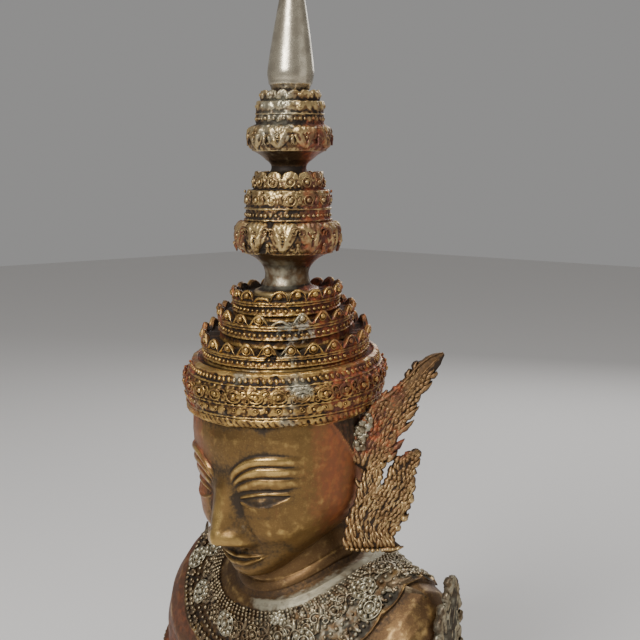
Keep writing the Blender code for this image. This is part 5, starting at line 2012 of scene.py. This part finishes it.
@dataclass
class Shoulders:
    """The chest, shoulders and neck, with the collar and the armlets."""

    half_width: float = 94.0 * MM
    half_depth: float = 44.0 * MM
    setback: float = 17.0 * MM
    neck_half_width: float = 32.0 * MM
    neck_setback: float = 11.0 * MM
    level: float = 108.0 * MM
    collar_raise: float = 2.4 * MM
    collar_leaf: float = 4.5 * MM
    arm_groove: float = 8.0 * MM
    armlet_raise: float = 2.4 * MM
    armlet_reach: float = 96.6 * MM
    columns: int = 380
    rows_of_form: tuple[tuple[float, ...], ...] = (
        # Height at the side, front and back, width, depth before and behind, collar, armlet
        (0.0, 0.0, 0.0, 0.985, 0.93, 0.98, 0.0, 0.0),
        (0.32, 0.17, 0.23, 1.0, 0.97, 1.0, 0.0, 0.0),
        (0.335, 0.18, 0.245, 1.0, 0.97, 1.0, 0.0, 1.0),
        (0.53, 0.30, 0.39, 1.0, 1.0, 1.02, 0.0, 1.0),
        (0.545, 0.31, 0.405, 1.0, 1.0, 1.02, 0.0, 0.0),
        (0.72, 0.37, 0.56, 0.995, 1.02, 1.02, 0.0, 0.0),
        (0.86, 0.415, 0.67, 0.96, 1.03, 0.99, 0.0, 0.0),
        (0.94, 0.45, 0.735, 0.89, 1.03, 0.96, 0.0, 0.0),
        (0.975, 0.49, 0.79, 0.81, 1.03, 0.93, 0.0, 0.0),
        (0.985, 0.50, 0.80, 0.80, 1.03, 0.92, 1.0, 0.0),
        (1.0, 0.56, 0.87, 0.69, 1.01, 0.86, 1.0, 0.0),
        (1.0, 0.65, 0.945, 0.60, 0.99, 0.80, 0.7, 0.0),
        (0.995, 0.74, 1.02, 0.52, 0.95, 0.72, 1.0, 0.0),
        (0.985, 0.80, 1.08, 0.45, 0.89, 0.65, 1.4, 0.0),
        (1.0, 0.83, 1.095, 0.42, 0.86, 0.62, 1.2, 0.0),
    )
    # Grid rows between each two rows of form
    fineness: tuple[int, ...] = (14, 3, 12, 3, 8, 8, 8, 8, 5, 14, 14, 14, 14, 8)
    # Place along the rows of form, spacing and radius of each row of pearls, in millimetres
    pearl_rows: tuple[tuple[float, float, float], ...] = (
        (12.62, 2.6, 1.0),
        (12.36, 2.7, 1.0),
        (12.10, 2.8, 1.05),
        (11.84, 2.9, 1.05),
        (10.75, 4.4, 1.25),
        (10.25, 3.6, 1.1),
        (9.7, 3.0, 1.25),
        (9.3, 2.8, 1.0),
    )

    def build(self) -> None:
        """Make the shoulders with their collar."""
        make_piece("shoulders", self.body(), SKIN_GILT, "gilt_bronze", "angel_bust")
        jewels = weathered(join(self.collar_ornaments()), 0.16 * MM, 150)
        make_piece("collar_jewels", jewels, JEWELLED, "gilt_bronze", "angel_bust")
        bands = weathered(join(self.armlet_ornaments()), 0.16 * MM, 154)
        make_piece("armlet_jewels", bands, JEWELLED, "gilt_bronze", "angel_bust")

    def surface(self, row: Array, angle: Array) -> Array:
        """Places on the shoulders and collar.

        Args:
            row: place along the rows of form, from 0 at the underside to 14 at the collar's rim.
            angle: round the figure, 0 at the front.

        Returns:
            The places, without the fine relief.
        """
        table = np.array(self.rows_of_form)
        index = np.arange(len(table))
        side_h, front_h, back_h, wide, fore, aft, collar, armlet = (
            np.interp(row, index, table[:, column]) for column in range(8))
        across, ahead = np.sin(angle), np.cos(angle)
        raised = self.collar_raise * collar
        square = 2.0 + 0.8 * np.minimum(1.0, wide)
        depth = np.where(ahead > 0.0, self.half_depth * fore, self.half_depth * aft) + raised
        norm = (np.abs(across) ** square + np.abs(ahead) ** square) ** (1.0 / square)
        x = (self.half_width * wide + 0.5 * raised) * across / norm
        y = self.setback - depth * ahead / norm
        towards = np.abs(ahead / norm) ** 1.5
        end = np.where(ahead > 0.0, front_h, back_h)
        z = self.level * (side_h + (end - side_h) * towards) + 0.7 * raised * (1.0 - towards)
        fade = unit(1.0 - side_h / 0.8) ** 0.5
        groove = self.arm_groove * hump(np.abs(x) - 0.67 * self.half_width, 16.0 * MM) * fade
        y = y + np.where(ahead > 0.0, groove, -groove)
        on_arm = armlet * rise(np.abs(x), 0.70 * self.half_width, 0.73 * self.half_width)
        x = x * (1.0 + self.armlet_raise * on_arm / self.half_width)
        y = self.setback + (y - self.setback) * (1.0 + self.armlet_raise * on_arm / self.half_depth)
        return np.stack([x, y, z], axis=-1)

    def neck_rows(self, angle: Array) -> Array:
        """The neck's rows, from the collar's rim up into the head, with its folds.

        Args:
            angle: angles round the axis.

        Returns:
            Rows, columns and coordinates.
        """
        places = []
        knots = np.array([[0.995, 1.06, 0.835, 1.08], [1.08, 0.97, 0.92, 1.14], [1.31, 0.82, 1.31, 1.31]])
        for step in np.linspace(0.0, 2.0, 46):
            height, swell, front, back = (np.interp(step, (0, 1, 2), knots[:, column]) for column in range(4))
            across, ahead = np.sin(angle), np.cos(angle)
            end = np.where(ahead > 0.0, front, back)
            fold = 0.9 * MM * (dome(np.array(step - 0.62), 0.30) + dome(np.array(step - 1.15), 0.22))
            reach = self.neck_half_width * swell + fold * (ahead > -0.2)
            z = self.level * (height + (end - height) * np.abs(ahead) ** 1.5)
            places.append(np.stack([reach * across, self.neck_setback - reach * ahead, z], axis=-1))
        return np.stack(places)

    def body(self) -> Shell:
        """The carved shoulders.

        Returns:
            The shoulders.
        """
        steps = [np.linspace(index, index + 1, count, endpoint=False)
                 for index, count in enumerate(self.fineness)]
        row = np.concatenate([*steps, [14.0]])[:, None]
        angle = np.linspace(-pi, pi, self.columns, endpoint=False)[None, :]
        grid = self.surface(row, angle)
        lobes = np.abs(np.sin(11.0 * angle)) ** 0.6
        reach = self.collar_leaf * hump(row - 9.3, 1.0) * (lobes - 0.35)
        grid[..., 2] -= reach * 0.6
        grid[..., 0] += 0.35 * reach * np.sin(angle)
        collar = rise(row, 9.0, 9.15)
        skin = 0.12 * MM * rough(grid, 4.0 * MM, 121)
        chased = 0.24 * MM * rough(grid, 2.3 * MM, 122) * collar * fall(row, 12.7, 12.9)
        out = np.stack(np.broadcast_arrays(np.sin(angle), -np.cos(angle), np.full_like(row, 0.35)), axis=-1)
        above_base = rise(grid[..., 2], 0.5 * MM, 4.0 * MM)[..., None]
        grid = grid + out * ((skin + chased)[..., None]) * above_base
        neck = self.neck_rows(angle[0])
        whole = np.concatenate([grid, neck])
        relief = carved_marks(whole, 2, 6)
        count = len(row)
        on_collar = np.zeros(whole.shape[:2])
        on_collar[:count] = collar
        rim = np.zeros(whole.shape[:2])
        rim[:count] = rise(row, 12.7, 12.9)
        near_rim = rise(toward_right(whole), -26.0 * MM, -10.0 * MM)
        skin_relief = 0.42 + 0.40 * (relief - 0.5) + 0.10 * rough(whole, 7.0 * MM, 124)
        step = np.linspace(0.0, 2.0, len(whole) - count)[:, None]
        # The neck stays mid-toned, with a painted highlight along a fold.
        skin_relief[count:] = 0.49 + 0.25 * (relief[count:] - 0.5) + 0.26 * hump(step - 0.90, 0.10)
        collar_relief = (relief - 0.14) * (1.0 - rim) + (0.56 + 0.2 * (relief - 0.5)) * rim
        skin_relief = np.maximum(skin_relief, 0.43)
        relief = unit(on_collar * collar_relief + (1.0 - on_collar) * skin_relief)
        # Red towards both sides of the picture is red lacquer with a painted red reflection; red behind is
        # lacquer.
        red = rise(-toward_right(whole), 22.0 * MM, 52.0 * MM) * 0.45
        red = red + 0.32 * rise(toward_right(whole), 55.0 * MM, 75.0 * MM)
        red = red + 0.30 * rise(-toward_camera(whole), 0.0, 40.0 * MM)
        red[count:] *= 0.25
        above_collar = np.zeros(whole.shape[:2])
        above_collar[count:] = 1.0
        marks = {
            "relief": relief,
            "lacquer": unit(red * (1.0 - on_collar) + 0.1 * rough(whole, 16.0 * MM, 123)),
            "silver": unit((0.28 + 0.16 * near_rim) * on_collar * (1.0 - rim) + 0.62 * rim * near_rim
                           + 0.24 * above_collar),
            "crust": 0.30 * rim * near_rim,
        }
        return grid_shell(*fewer_behind(whole, marks))

    def seat(self, row: float, angle: float, out: float = 0.0) -> Seat:
        """Where an ornament sits on the collar or an armlet.

        Args:
            row: place along the rows of form.
            angle: round the figure, 0 at the front.
            out: how far off the surface.

        Returns:
            The seat.
        """
        gap = 0.02
        rows = np.array([row, row + gap, row - gap, row, row])
        angles = np.array([angle, angle, angle, angle + gap, angle - gap])
        places = self.surface(rows, angles)
        up = places[1] - places[2]
        side = places[3] - places[4]
        side /= np.linalg.norm(side)
        outward = np.cross(side, up)
        outward /= np.linalg.norm(outward)
        if outward[2] < -0.3:
            outward = -outward
        return Seat(places[0] + outward * out, side, np.cross(outward, side), outward)

    def row_length(self, row: float) -> tuple[Array, Array]:
        """Angles round a row, and how far along the row each lies.

        Args:
            row: place along the rows of form.

        Returns:
            The angles and the lengths.
        """
        angles = np.linspace(-pi, pi, 721)
        places = self.surface(np.full(721, row), angles)
        run = np.concatenate([[0.0], np.cumsum(np.linalg.norm(np.diff(places, axis=0), axis=1))])
        return angles, run

    def strung(self, row: float, pitch: float, shift: float = 0.0) -> list[float]:
        """Angles of ornaments set evenly along a row.

        Args:
            row: place along the rows of form.
            pitch: their spacing.
            shift: how far they are moved on, as a share of it.

        Returns:
            The angles.
        """
        angles, run = self.row_length(row)
        count = round(run[-1] / pitch)
        return [float(np.interp((index + shift) / count * run[-1], run, angles)) for index in range(count)]

    def collar_ornaments(self) -> list[Shell]:
        """Rows of pearls, rosettes, scrolls and leaves on the collar.

        Returns:
            The placed ornaments.
        """
        rng = np.random.default_rng(57)
        shells = []
        for number, (row, pitch, radius) in enumerate(self.pearl_rows):
            bead = pearl(radius, 0.95 * radius)
            for angle in self.strung(row, pitch * MM, 0.5 * (number % 2)):
                spot = rng.uniform(-0.025, 0.025)
                shells.append(bead.moved(self.seat(row + spot, angle, 0.5 * MM), rng.uniform(0.78, 1.15)))
        flower = rosette(5.6, 8)
        curl, curl_back = (scroll(3.4, 0.75, 1.3, 1.1, hand) for hand in (1.0, -1.0))
        leaf, leaf_back = (kranok(7.0, 1.7, 0.6 * hand, 1.2 * hand, 1.4, 2.0) for hand in (1.0, -1.0))
        for angle in self.strung(11.25, 17.0 * MM, 0.35):
            seat = self.seat(11.2, angle, 0.3 * MM)
            shells.append(flower.moved(seat.turned(rng.uniform(0, 1)), rng.uniform(0.82, 1.05)))
        for angle in self.strung(11.25, 17.0 * MM, 0.85):
            seat = self.seat(11.25, angle, 0.2 * MM)
            shells.append(curl.moved(seat.shifted(-2.2, 1.6)))
            shells.append(curl_back.moved(seat.shifted(2.2, -1.8).turned(pi)))
            shells.append(leaf.moved(seat.shifted(1.4, 1.0).turned(-0.5)))
            shells.append(leaf_back.moved(seat.shifted(-1.4, -1.0).turned(2.6)))
        hanging = kranok(6.2, 2.3, 0.0, 0.0, 1.2, 3.0)
        for angle in self.strung(9.25, 6.4 * MM, 0.25):
            seat = self.seat(9.85, angle, 0.1 * MM)
            shells.append(hanging.moved(seat.turned(pi), rng.uniform(0.85, 1.05)).marked(relief=0.60))
        for shell in shells:
            near = rise(toward_right(shell.points), -30.0 * MM, 0.0)
            shell.marks["silver"] = 0.10 + 0.34 * near
            shell.marks["relief"] = np.minimum(shell.marks["relief"], 0.70)
        shells += self.medallions()
        shells += self.epaulettes()
        return shells

    def epaulettes(self) -> list[Shell]:
        """Curled leaves that stand off the collar's corner on each shoulder.

        Returns:
            The placed leaves.
        """
        parts = []
        for side in Side:
            outward = np.array([0.80 * side.value, 0.59, 0.10])
            facing = np.cross(np.array([0.59 * side.value, -0.80, 0.30]), outward) * side.value
            facing /= np.linalg.norm(facing)
            seat = Seat(np.array([68.5 * MM * side.value, 4.5 * MM, 101.5 * MM]), facing, outward,
                        np.cross(facing, outward))
            for shift, length, width, bend in ((0.0, 20.0, 3.4, 0.35), (-3.0, 16.0, 2.6, 0.6),
                                               (3.2, 14.0, 2.4, -0.5), (0.5, 12.0, 2.2, 0.2)):
                leaf = kranok(length, width, bend, 0.9 * bend, 1.6, 2.0).moved(seat.shifted(shift, 0.0))
                parts.append(leaf.marked(silver=0.0, lacquer=0.30, relief=0.62))
        return parts

    def medallions(self) -> list[Shell]:
        """The pale lump at the collar's front left and the larger flowers beside it.

        Returns:
            The placed ornaments.
        """
        parts = []
        seat = self.seat(12.2, 0.42, 0.3 * MM)
        lump = pearl(1.9, 1.5, 10)
        for index in range(15):
            reach, turn = 1.25 * sqrt(index), 2.4 * index
            spot = seat.shifted(reach * cos(turn), 0.8 * reach * sin(turn))
            parts.append(lump.moved(spot, 1.0 - 0.035 * index).marked(silver=0.62, crust=0.25))
        big = rosette(6.6, 9)
        for row, angle in ((9.75, 1.13), (9.75, -1.13), (10.9, 1.22), (10.9, -1.22), (11.2, -0.28),
                           (10.6, 0.62), (10.6, -0.80)):
            parts.append(big.moved(self.seat(row, angle, 0.7 * MM)).marked(silver=0.6))
        return parts

    def armlet_ornaments(self) -> list[Shell]:
        """Beaded edges and rosettes on both armlets.

        Returns:
            The placed ornaments.
        """
        shells = []
        bead = pearl(1.3, 1.1)
        for row, pitch in ((2.12, 3.0), (2.88, 3.0)):
            for angle in self.strung(row, pitch * MM):
                if abs(sin(angle)) > 0.70:
                    shells.append(bead.moved(self.seat(row, angle)))
        flower = rosette(5.2, 8)
        leaf, leaf_back = (kranok(8.0, 1.9, 0.5 * hand, 1.0 * hand, 1.4, 2.0) for hand in (1.0, -1.0))
        for angle in self.strung(2.5, 14.5 * MM, 0.5):
            if abs(sin(angle)) > 0.74:
                seat = self.seat(2.5, angle)
                shells += [flower.moved(seat), leaf.moved(seat.shifted(5.6, -3.0)),
                           leaf_back.moved(seat.shifted(-5.6, -3.0))]
        for shell in shells:
            shell.points[:, 0] = np.clip(shell.points[:, 0], -self.armlet_reach, self.armlet_reach)
        return [shell.marked(silver=0.22) for shell in shells]


# Flames

@dataclass(frozen=True)
class Spray:
    """A flame between two edges that run from its root to its tip, in millimetres of the plate's plane."""

    inner: Line
    outer: Line

    def edge(self, line: Line, share: float) -> Array:
        """The place at a share of one edge's length.

        Args:
            line: the edge.
            share: how far along it.

        Returns:
            The place.
        """
        points = np.array(line)
        run = np.concatenate([[0.0], np.cumsum(np.linalg.norm(np.diff(points, axis=0), axis=1))])
        return np.array([np.interp(share * run[-1], run, points[:, axis]) for axis in range(2)])

    def place(self, share: float, part: float) -> Array:
        """The place at a share of the length, with the inner edge at part -1 and the outer at 1."""
        first, last = self.edge(self.inner, share), self.edge(self.outer, share)
        return first + (last - first) * (part + 1.0) / 2.0

    def heading(self, share: float, part: float) -> float:
        """The direction in which the flame grows there."""
        step = self.place(min(1.0, share + 0.06), part) - self.place(max(0.0, share - 0.06), part)
        return atan2(step[1], step[0])

    def width(self, share: float) -> float:
        """Half width at a share of the length."""
        return float(np.linalg.norm(self.place(share, 1.0) - self.place(share, -1.0))) / 2.0

    def length(self) -> float:
        """Distance from the root's middle to the tip."""
        return float(np.linalg.norm(self.place(1.0, 0.0) - self.place(0.0, 0.0)))


# The armlets' flames: whole on the left, broken off on the right
WHOLE_FLAME = Spray(((10.5, 44.0), (10.5, 62.0), (12.5, 80.0), (16.0, 96.0), (21.5, 111.0)),
                    ((27.5, 44.0), (28.5, 62.0), (28.5, 80.0), (27.5, 96.0), (24.5, 110.5)))
BROKEN_FLAME = Spray(((10.5, 44.0), (10.5, 62.0), (13.0, 66.5)), ((27.5, 44.0), (28.5, 60.0), (26.0, 66.0)))


def flame_leaf(start: Array, heading: float, length: float, width: float, height: float,
               bend: float, curl: float, combs: float = 2.0) -> Shell:
    """One flame leaf in the plane of its plate, combed along its length.

    Args:
        start: middle of its root, across and up.
        heading: its first direction.
        length: how long it is.
        width: its half width at the belly.
        height: how far it stands to each side of the plane.
        bend: how far it turns on its way.
        curl: how much more its tip turns.
        combs: ridges along it.

    Returns:
        The leaf, in millimetres.
    """
    steps = 8
    path = turtle((float(start[0]), float(start[1])), heading, length, bend, curl, steps)
    widths = leaf_widths(width, steps, 0.42, 0.55)
    heights = height * (0.35 + 0.65 * np.sqrt(widths / width))
    return tube_shell(path, widths, heights, 8, combs, 0.40)


def ribbon(spray: Spray, ends: tuple[float, float], sides: tuple[float, float], thickness: float,
           relief: float = 0.30) -> Shell:
    """A rounded strip of a flame's plate.

    Args:
        spray: the flame.
        ends: shares of its length where the strip starts and stops.
        sides: parts of its width between which it lies.
        thickness: how far it stands to each side of the plane.
        relief: the relief mark of the whole strip.

    Returns:
        The strip, in millimetres.
    """
    turn = np.linspace(0.0, tau, 16, endpoint=False)
    rows = []
    for share in np.linspace(*ends, 30):
        left, right = spray.place(share, sides[0]), spray.place(share, sides[1])
        flat = (left + right) / 2.0 + np.cos(turn)[:, None] * (right - left) / 2.0
        taper = min(1.0, (1.04 - share) / 0.16, (share - ends[0] + 0.02) / 0.08)
        rows.append(np.column_stack([flat, thickness * taper * np.sin(turn)]))
    return grid_shell(np.stack(rows)).marked(relief=relief)


def feathers(spray: Spray, rng: np.random.Generator, size: float, height: float,
             last: float = 0.92) -> list[Shell]:
    """Short curled leaves in overlapping rows that cover a flame.

    Args:
        spray: the flame.
        rng: where the small differences come from.
        size: size of the leaves against the usual one.
        height: how far they stand to each side of the plane.
        last: the share of the length where they stop.

    Returns:
        The leaves, in millimetres.
    """
    leaves = []
    rows = max(3, round(last * spray.length() / (2.5 * size)))
    for index in range(rows):
        share = 0.02 + (last - 0.02) * index / (rows - 1)
        across = max(1, round(2.0 * spray.width(share) / (2.7 * size)))
        for step in range(across + 1):
            part = 0.86 * (2.0 * (step + 0.5 * (index % 2)) / (across + 0.5) - 1.0)
            heading = spray.heading(share, part) - 0.34 * part + rng.normal(0.0, 0.20)
            length = size * rng.uniform(5.2, 7.2) * (1.0 - 0.35 * share)
            hand = 1.0 if rng.normal(0.0, 0.5) + part > 0.0 else -1.0
            width = size * rng.uniform(1.55, 2.10)
            stand = height * rng.uniform(0.74, 1.15)
            root = spray.place(share, part)
            leaves.append(flame_leaf(root, heading, length, width, stand, 0.2 * hand, 1.7 * hand, 1.0))
    return leaves


def teeth(spray: Spray, rng: np.random.Generator, pitch: float, length: float,
          last: float = 0.93) -> list[Shell]:
    """Small pointed leaves along both edges of a flame.

    Args:
        spray: the flame.
        rng: where the small differences come from.
        pitch: their spacing.
        length: how long the longest are.
        last: the share of the length where they stop.

    Returns:
        The leaves, in millimetres.
    """
    leaves = []
    count = round(last * spray.length() / pitch)
    for hand in (-1.0, 1.0):
        for index in range(count):
            share = last * (index + 0.5) / count
            heading = spray.heading(share, hand) - hand * rng.uniform(0.30, 0.60)
            reach = length * rng.uniform(0.8, 1.15) * (1.0 - 0.35 * share)
            leaves.append(flame_leaf(spray.place(share, 0.78 * hand), heading, reach, 1.35, 2.2,
                                     0.5 * hand, 0.7 * hand, 0.0))
    return leaves


@dataclass
class ArmletFlame:
    """The upright flame on the outside of an armlet, whole or broken off."""

    side: Side
    spray: Spray
    stand: float = 93.4 * MM
    limit: float = 97.2 * MM

    def build(self) -> None:
        """Make the flame from a plate and rows of upright leaves."""
        rng = np.random.default_rng(83)
        leaves = [ribbon(self.spray, (0.0, 0.985), (-1.0, 1.0), 2.6)]
        leaves += feathers(self.spray, rng, 1.45, 3.2) + teeth(self.spray, rng, 5.0, 6.5)
        flat = weathered(join(leaves), 0.3, 158)
        value = self.side.value
        points = flat.points * MM
        flare = 0.04 * np.maximum(0.0, points[:, 1] - 60.0 * MM)
        x = np.clip(self.stand + points[:, 2] + flare, 0.0, self.limit) * value
        placed = Shell(np.stack([x, points[:, 0], points[:, 1]], axis=1), flat.quads, flat.tris, flat.marks)
        placed.marks["relief"] = 0.12 + 0.9 * placed.marks["relief"]
        name = f"armlet_flame_{self.side.name.lower()}"
        make_piece(name, placed.facing_out().marked(silver=0.44), JEWELLED, "gilt_bronze", "angel_bust")


@dataclass
class EarFlame:
    """The carved plate of flames behind one ear."""

    side: Side
    plane: float = 27.0 * MM
    turn: float = radians(45.0)
    upper: Spray = Spray(
        ((35.5, -28.0), (35.5, -12.0), (41.0, -2.0), (47.0, 4.6), (57.0, 12.0), (62.0, 17.0), (67.0, 23.0),
         (73.0, 27.3), (80.5, 28.8)),
        ((44.0, -33.0), (54.0, -23.5), (57.8, -15.0), (61.6, -7.6), (65.0, 1.0), (71.2, 12.0), (77.5, 20.5),
         (81.2, 28.2)))
    lower: Spray = Spray(
        ((30.5, -72.5), (31.0, -59.0), (33.5, -50.5), (41.5, -44.0), (50.0, -39.0), (56.0, -27.0),
         (68.5, -19.9)),
        ((60.0, -71.0), (55.5, -67.0), (56.5, -62.0), (61.5, -56.5), (65.0, -45.0), (65.5, -36.5),
         (67.0, -26.5), (69.0, -20.3)))
    link: Spray = Spray(
        ((36.5, -50.0), (38.5, -38.5), (43.5, -27.0), (45.0, -20.0)),
        ((46.0, -44.0), (48.5, -36.5), (50.5, -26.0), (52.0, -18.0)))
    # Tip, length and heading in degrees of each long tooth
    long_teeth: tuple[tuple[float, float, float, float], ...] = (
        (74.6, 14.2, 8.5, 40.0),
        (68.2, 1.8, 10.0, 40.0),
        (65.6, -5.2, 10.5, 40.0),
        (61.0, -14.8, 9.5, 44.0),
        (57.6, -21.0, 8.0, 46.0),
        (61.0, -70.4, 12.0, 8.0),
    )
    # Place and radius of each knob
    knob_places: tuple[tuple[float, float, float], ...] = (
        (57.5, -61.0, 1.9),
        (61.0, -56.0, 2.0),
        (64.2, -46.5, 1.9),
        (64.8, -38.0, 1.8),
        (66.6, -28.5, 1.5),
        (49.5, -28.0, 1.7),
        (48.8, -35.0, 1.6),
        (53.5, -24.0, 1.6),
    )
    foot_beads: int = 11

    def build(self) -> None:
        """Make the plate of flames."""
        rng = np.random.default_rng(71)
        flames = (self.upper, self.lower, self.link)
        leaves = [ribbon(flame, (0.0, 0.985), (-1.0, 1.0), 1.7) for flame in flames]
        leaves += self.blade()
        leaves += feathers(self.upper, rng, 0.95, 2.7, 0.80)
        leaves += feathers(self.lower, rng, 0.95, 2.8)
        leaves += feathers(self.link, rng, 0.85, 2.4)
        leaves += teeth(self.upper, rng, 3.4, 4.6, 0.5) + teeth(self.lower, rng, 4.2, 5.5)
        leaves += self.spikes() + self.knobs()
        side = self.side.name.lower()
        carving = weathered(join([self.placed(leaf) for leaf in leaves]), 0.42 * MM, 134)
        make_piece(f"flame_carving_{side}", carving, FLAME, "flame_bronze", f"ear_flame_{side}")

    def placed(self, leaf: Shell) -> Shell:
        """A leaf of the plate's plane, in millimetres, put in its place beside the head.

        Args:
            leaf: what is placed.

        Returns:
            The placed leaf.
        """
        across = np.array([cos(self.turn), sin(self.turn), 0.0])
        out = np.array([sin(self.turn), -cos(self.turn), 0.0])
        points = leaf.points * MM
        place = across * points[:, :1] + out * (self.plane + points[:, 2:]) + np.array([0.0, 0.0, BRIM_LEVEL])
        place[:, 2] += points[:, 1]
        place[:, 0] *= self.side.value
        marks = dict(leaf.marks)
        u, v = leaf.points[:, 0], leaf.points[:, 1]
        red = 0.50 * stretch(v, -36.0, -20.0, 10.0, 24.0) * fall(u, 60.0, 70.0)
        marks["relief"] = marks["relief"] - 0.10 * rise(v, -34.0, -24.0)
        marks["lacquer"] = unit(red + 0.12 * rough(place, 9.0 * MM, 131))
        worn = 0.35 * hump(v + 40.0, 10.0) * (u < 52.0)
        marks["silver"] = 0.5 * oval(u, v, (40.0, -12.0), (6.0, 9.0)) + worn
        marks["crust"] = 0.35 * hump(np.hypot(u - 38.0, 0.7 * (v + 20.0)), 8.0)
        return Shell(place, leaf.quads, leaf.tris, marks).facing_out()

    def blade(self) -> list[Shell]:
        """The smooth blade at the top of the upper flame, with its raised edge and vein.

        Returns:
            Its parts, in millimetres.
        """
        blade = ribbon(self.upper, (0.42, 0.99), (-0.98, 0.62), 2.1, 0.54)
        edge = ribbon(self.upper, (0.36, 0.985), (-1.0, -0.66), 2.9, 0.56)
        vein = ribbon(self.upper, (0.45, 0.93), (-0.12, 0.16), 2.7, 0.60)
        return [blade, edge, vein]

    def spikes(self) -> list[Shell]:
        """The long pointed teeth on the outer edge of the upper flame, and at the foot of the lower one.

        Returns:
            The teeth, in millimetres.
        """
        spikes = []
        for u, v, length, heading in self.long_teeth:
            way = np.array([cos(radians(heading)), sin(radians(heading))])
            root = np.array([u, v]) - length * way
            spikes.append(flame_leaf(root, radians(heading - 8.0), length, 1.9, 2.5, radians(16.0), 0.0, 1.0))
        return spikes

    def knobs(self) -> list[Shell]:
        """Knobs at the edges of the flames and beads along the lower foot.

        Returns:
            The knobs and beads, in millimetres.
        """
        parts = []
        for u, v, radius in self.knob_places:
            seat = FLAT_SEAT.shifted(u, v)
            parts.append(pearl(radius, radius, 10).moved(seat))
            parts.append(pearl(radius, 1.4 * radius, 10).moved(seat.turned(0.4)))
        for index in range(self.foot_beads):
            sag = 0.8 * sin(pi * index / (self.foot_beads - 1))
            parts.append(pearl(1.25, 2.7, 8).moved(FLAT_SEAT.shifted(32.0 + 2.60 * index, -71.4 - sag)))
        return parts


@dataclass
class Deposit:
    """The whitish lumps, like old solder, where the left plate of flames meets the head."""

    lumps: int = 34

    def build(self) -> None:
        """Make the lumps."""
        rng = np.random.default_rng(5)
        flame = EarFlame(Side.LEFT)
        shells = []
        for index in range(self.lumps):
            share = index / (self.lumps - 1)
            u = 36.5 + 6.0 * share + rng.uniform(-2.6, 2.6)
            v = -21.0 + 18.0 * share + rng.uniform(-2.2, 2.2)
            radius = rng.uniform(1.0, 2.3)
            lump = pearl(radius, radius * rng.uniform(0.45, 0.8), 12)
            lump.points[:, 2] += 1.9
            lump.points[:, :2] += (u, v)
            placed = flame.placed(lump)
            middle = placed.points.mean(axis=0)
            bumpy = 1.0 + 0.28 * rough(placed.points, 1.4 * MM, 141)
            placed.points = middle + (placed.points - middle) * bumpy[:, None]
            placed.marks["relief"] = 0.22 + 0.6 * placed.marks["relief"]
            shells.append(placed.marked(crust=0.42, lacquer=0.0, silver=0.46))
        make_piece("solder_deposit", weathered(join(shells), 0.5 * MM, 160), JEWELLED, "flame_bronze")


def main() -> None:
    """Build the stage and every piece in order."""
    logging.basicConfig(level=logging.INFO, format="%(name)s: %(message)s")
    Studio().build()
    for part in (Crown(), Spire(), Finial(), Head(), Shoulders(),
                 ArmletFlame(Side.LEFT, WHOLE_FLAME), ArmletFlame(Side.RIGHT, BROKEN_FLAME),
                 EarFlame(Side.LEFT), EarFlame(Side.RIGHT), Deposit()):
        part.build()
        LOG.info("built %s", type(part).__name__)


if __name__ == "__main__":
    main()
